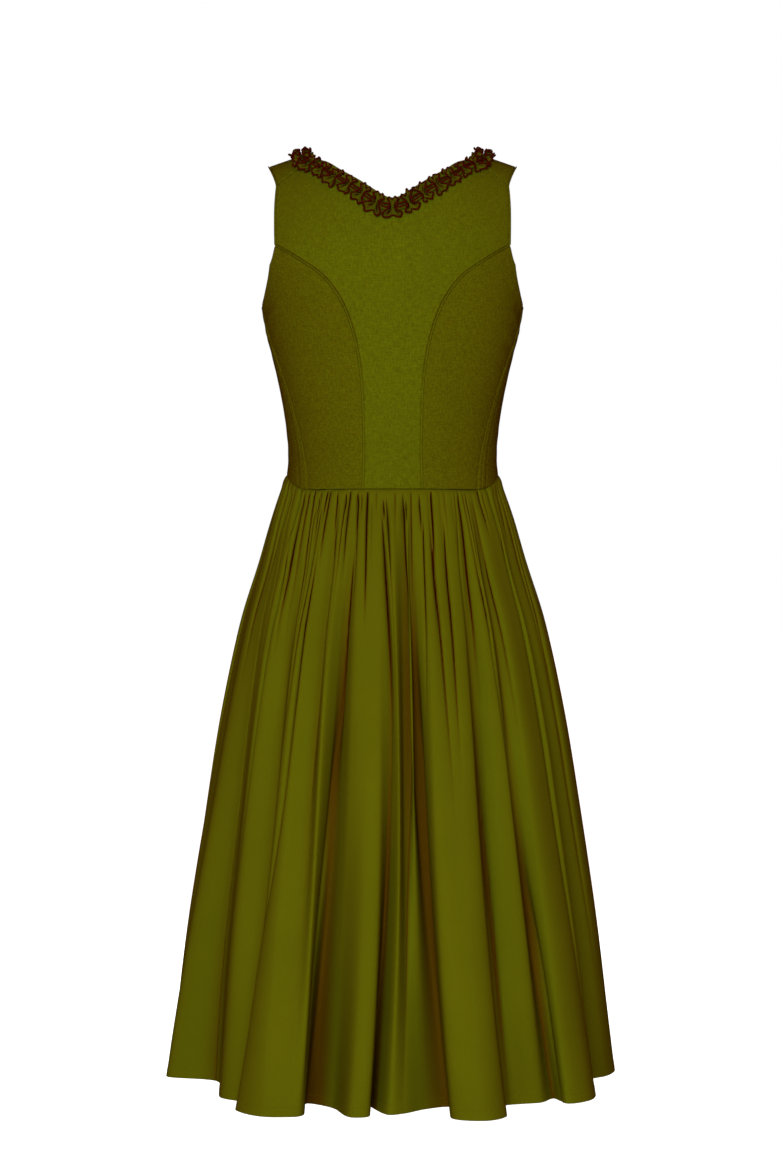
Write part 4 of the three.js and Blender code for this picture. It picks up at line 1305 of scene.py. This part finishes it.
# %% The neck edge
NEARBY = 1e-4               # radians and metres, the small step that a normal is measured over
HALF_CLOSING = 0.9 * MM     # how far from the middle the trim's two ends stop
CORNER_REACH = 16 * MM      # how gently the strip turns a corner of the neckline
FRONT_SAMPLES, BACK_SAMPLES, TRIM_SAMPLES = 220, 100, 900


def neck_edge():
    """The neck edge in space, from the closing over the left strap, round the back and over the
    right strap to the closing again."""
    front = along_line(front_neck, np.linspace(0, 1, FRONT_SAMPLES))
    back = along_line(back_neck, np.linspace(0, 1, BACK_SAMPLES))[1:]
    left = bodice_point(*np.concatenate([front, back]).T)
    left = left[left[:, 0] > HALF_CLOSING]
    return np.concatenate([left, left[::-1] * np.array([-1, 1, 1])])


def on_bodice(points):
    """The bodice's own points nearest to points, and its normals there."""
    angle, height = bodice_place(points)
    around = bodice_point(angle + NEARBY, height) - bodice_point(angle - NEARBY, height)
    upward = bodice_point(angle, height + NEARBY) - bodice_point(angle, height - NEARBY)
    return bodice_point(angle, height), unit(np.cross(upward, around))


neck_line = neck_edge()
neck_length = length_along(neck_line)


def on_trim(local):
    """Places along, outwards from the neck edge and up, in metres, as points in space."""
    along = local[..., 0]
    start, ahead, behind = (places_at(along + step, neck_length, neck_line)
                            for step in (0, CORNER_REACH, -CORNER_REACH))
    _, normal = on_bodice(start)
    outward = unit(np.cross(ahead - behind, normal))
    base, normal = on_bodice(start + outward * local[..., 1:2])
    return base + normal * local[..., 2:3]


edge_place = np.linspace(0, neck_length[-1], TRIM_SAMPLES)
sewn_line = on_trim(np.stack([edge_place, edge_place * 0 + RUCHE_MIDDLE, edge_place * 0], axis=1))
sewn_length = length_along(sewn_line)
units = 2 * int(round((sewn_length[-1] / RUCHE_PITCH - 1) / 2)) + 1
pitch = sewn_length[-1] / units
print("neck edge", round(neck_length[-1], 3), "m, sewn line", round(sewn_length[-1], 3), "m,",
      units, "units of the ruche")

# %% The lines of the strip
def ruche_lines(scale, seed):
    """The sewn middle, belly and free edge of one side of the whole ruche, as smooth lines
    through the stations of all units, each unit nudged a little."""
    rng = np.random.default_rng(seed)
    pattern = ruche_unit(scale)
    stations = np.tile(pattern, (units, 1, 1))
    unit_start = (np.repeat(np.arange(units), len(pattern)) + 0.5) * pitch / MM
    inside = np.tile(np.sin(np.pi * np.arange(len(pattern)) / len(pattern)), units)
    nudge = rng.normal(0, UNEVEN, (len(stations), 1, 3)) * inside[:, None, None]
    size = 1 + UNEVEN_SIZE * np.repeat(rng.normal(0, 1, units), len(pattern))
    stations = stations * size[:, None, None]
    stations[:, 1:] += nudge * np.array([1, 1, 0.8])
    stations[:, :, 0] += unit_start[:, None]
    steps = np.arange((len(stations) - 1) * STATION_STEPS + 1) / STATION_STEPS
    return through_points(stations.reshape(len(stations), 9), steps).reshape(-1, 3, 3)


def ruche_side(scale, seed):
    """Grid of one side of the strip, from its sewn middle to its free edge: a parabola through
    the two, drawn towards the belly. Units lie evenly along the sewn line."""
    middle, belly, edge = np.moveaxis(ruche_lines(scale, seed), 1, 0)
    t = np.linspace(0, 1, BELLY_STEPS + 1)[:, None, None]
    grid = middle * (1 - t) ** 2 + belly * 2 * t * (1 - t) + edge * t ** 2
    grid = grid * MM + np.array([0, RUCHE_MIDDLE, RUCHE_LIFT])
    grid[..., 0] = np.interp(grid[..., 0], sewn_length, edge_place)
    return grid


LOWER_SEED, UPPER_SEED = 3, 4
lower = ruche_side(np.ones(3), LOWER_SEED)
upper = ruche_side(UPPER_FAN, UPPER_SEED)
print("points of the lower side:", lower.shape[:2])

# %% The strip
strip = on_trim(np.concatenate([upper[:0:-1], lower]))
out_to_edge = np.abs(np.linspace(-1, 1, strip.shape[0]))[:, None]
station = (np.arange(strip.shape[1]) / STATION_STEPS) % len(ruche_unit(np.ones(3)))
# painted shade along the folds that run out from each knot, and the real red-brown of the strip's
# two overlocked edges
from_pleat = np.abs(station[:, None] - PLEAT_STATIONS).min(axis=1)
pleat_shade = (1 - smooth_step(from_pleat, 0.25, 1.1)) * (1 - smooth_step(out_to_edge, 0.4, 0.95))
edge_colour_and_pleat_shade = np.maximum(smooth_step(out_to_edge, 0.82, 0.94), pleat_shade)
along = np.arange(strip.shape[1]) * STEP_OF_CLOTH
across = np.linspace(-HALF_WIDTH, HALF_WIDTH, strip.shape[0])
flat = np.stack(np.broadcast_arrays(along[None, :], across[:, None]), axis=2)
ruche = cloth_sheet("cloth_ruche", strip[:, ::-1], flat[:, ::-1], RUCHE_THICKNESS,
                    ruche_cloth, {"painted_shade_and_edge": edge_colour_and_pleat_shade[:, ::-1]})
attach(ruche, "root")
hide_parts("neck_ruche")
report(ruche)

# %% [markdown]
# ## The overlocked edges
#
# An overlocker wraps a raw edge in a dense roll of thread. At this size the threads of the roll
# can't be told apart, so each edge is one thin round tube in the thread's finish.

# %% Overlocked edges
EDGE_RADIUS = 1.1 * MM
EDGE_SIDES = 6
END_SHARE = 0.02        # the share of the radius to which the ends are drawn together


def tube(name, line, radius, sides, material):
    """A round tube carried along a line of points: a circle turned to stand square to the line,
    closed at both ends by drawing its last rings together."""
    ahead = unit(np.gradient(line, axis=0))
    side = unit(np.cross(ahead, on_bodice(line)[1]))
    up = np.cross(side, ahead)
    turn = np.linspace(0, 2 * np.pi, sides + 1)
    girth = np.full(len(line), radius)
    girth[[0, -1]] = radius * END_SHARE
    ring = side[:, None] * np.cos(turn)[None, :, None] + up[:, None] * np.sin(turn)[None, :, None]
    points = line[:, None] + ring * girth[:, None, None]
    piece = mesh_object(name, points, grid_quads(*points.shape[:2]))
    piece.data.materials.append(material)
    return piece


for label, grid in (("upper", upper), ("lower", lower)):
    edge = tube(f"ruche_edge_{label}", on_trim(grid[-1]), EDGE_RADIUS, EDGE_SIDES,
                edge_thread)
    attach(edge, "root")
    report(edge)

# %% [markdown]
# ## Stitches
#
# A seam looks sewn when its stitches can be seen from close by. A stitch is a short thread that
# dips into the cloth at both ends. One stitch has a few dozen faces, and is copied along a line
# by giving each copy its own place and directions, all in one array.

# %% A row of stitches
# along a stitch from 0 to 1, height above the cloth and radius in millimetres
STITCH_RINGS = np.array([(0.0, -0.25, 0.03), (0.12, 0.05, 0.14), (0.5, 0.2, 0.17),
                         (0.88, 0.05, 0.14), (1.0, -0.25, 0.03)])
STITCH_SIDES = 5


def stitch_row(name, line, up, pitch, fill, material):
    """Stitches along a line of points, each a rounded thread that arches over its part of the
    pitch: circles round an arc that starts and ends a little under the cloth."""
    length = length_along(line)
    count = int(length[-1] / pitch)
    rings, sides = len(STITCH_RINGS), STITCH_SIDES
    places = (np.arange(count)[:, None] + 0.5 + (STITCH_RINGS[:, 0] - 0.5) * fill) * pitch
    centre, raised = places_at(places, length, line), places_at(places, length, up)
    aside = np.cross(unit(centre[:, -1:] - centre[:, :1]), raised)
    turn = np.linspace(0, 2 * np.pi, sides, endpoint=False)[:, None]
    circle = aside[:, :, None] * np.cos(turn) + raised[:, :, None] * np.sin(turn)
    radius = STITCH_RINGS[:, 2][None, :, None, None] * MM
    lift = STITCH_RINGS[:, 1][None, :, None, None] * MM
    points = centre[:, :, None] + raised[:, :, None] * lift + circle * radius
    ring, side = np.meshgrid(np.arange(rings - 1), np.arange(sides), indexing="ij")
    beside = (side + 1) % sides
    quads = np.stack([ring * sides + side, ring * sides + beside, (ring + 1) * sides + beside,
                      (ring + 1) * sides + side], axis=-1).reshape(-1, 4)
    quads = (quads[None] + np.arange(count)[:, None, None] * rings * sides).reshape(-1, 4)
    piece = mesh_object(name, points, quads)
    piece.data.materials.append(material)
    return piece


def line_beside(name, side, reach):
    """The line on a piece at a distance from one side, and the cloth's normals along it."""
    points, distance = surfaces[name]
    away = distance[side] if side == "first" else distance[side][:, ::-1]
    spread = points if side == "first" else points[:, ::-1]
    normal = normals_of(points)
    normal = normal if side == "first" else normal[:, ::-1]
    column = np.argmax(away > reach, axis=1)
    rows = np.arange(len(points))
    near = away[rows, column - 1]
    part = ((reach - near) / (away[rows, column] - near))[:, None]
    line = spread[rows, column - 1] * (1 - part) + spread[rows, column] * part
    return line, normal[rows, column]


print("rings in a stitch:", len(STITCH_RINGS))

# %% Stitches beside the princess seams and along the hem
WELT_STITCH = 2.6 * MM        # from the seam
WELT_PITCH, WELT_FILL = 2.4 * MM, 0.72      # the fill is the share of the pitch that shows
HEM_PITCH, HEM_FILL = 3.4 * MM, 0.7
seam_rows = [("cloth_back_center", "first"), ("cloth_back_center", "last"),
             ("cloth_front_left", "first"), ("cloth_front_right", "last")]
for name, side in seam_rows:
    line, up = line_beside(name, side, WELT_STITCH)
    label = name.removeprefix("cloth_")
    row = stitch_row(f"stitches_{label}_{side}", line, up, WELT_PITCH, WELT_FILL, olive_thread)
    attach(row, "root")
    report(row)
hem_row = np.argmin(np.abs(HEM_ROWS - HEM_STITCH)) - len(HEM_ROWS)
for name in ("skirt_back", "skirt_front_left", "skirt_front_right"):
    points, _ = surfaces["cloth_" + name]
    line, up = points[hem_row], normals_of(points)[hem_row]
    row = stitch_row(f"stitches_hem_{name}", line, up, HEM_PITCH, HEM_FILL, olive_thread)
    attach(row, "root")
    report(row)
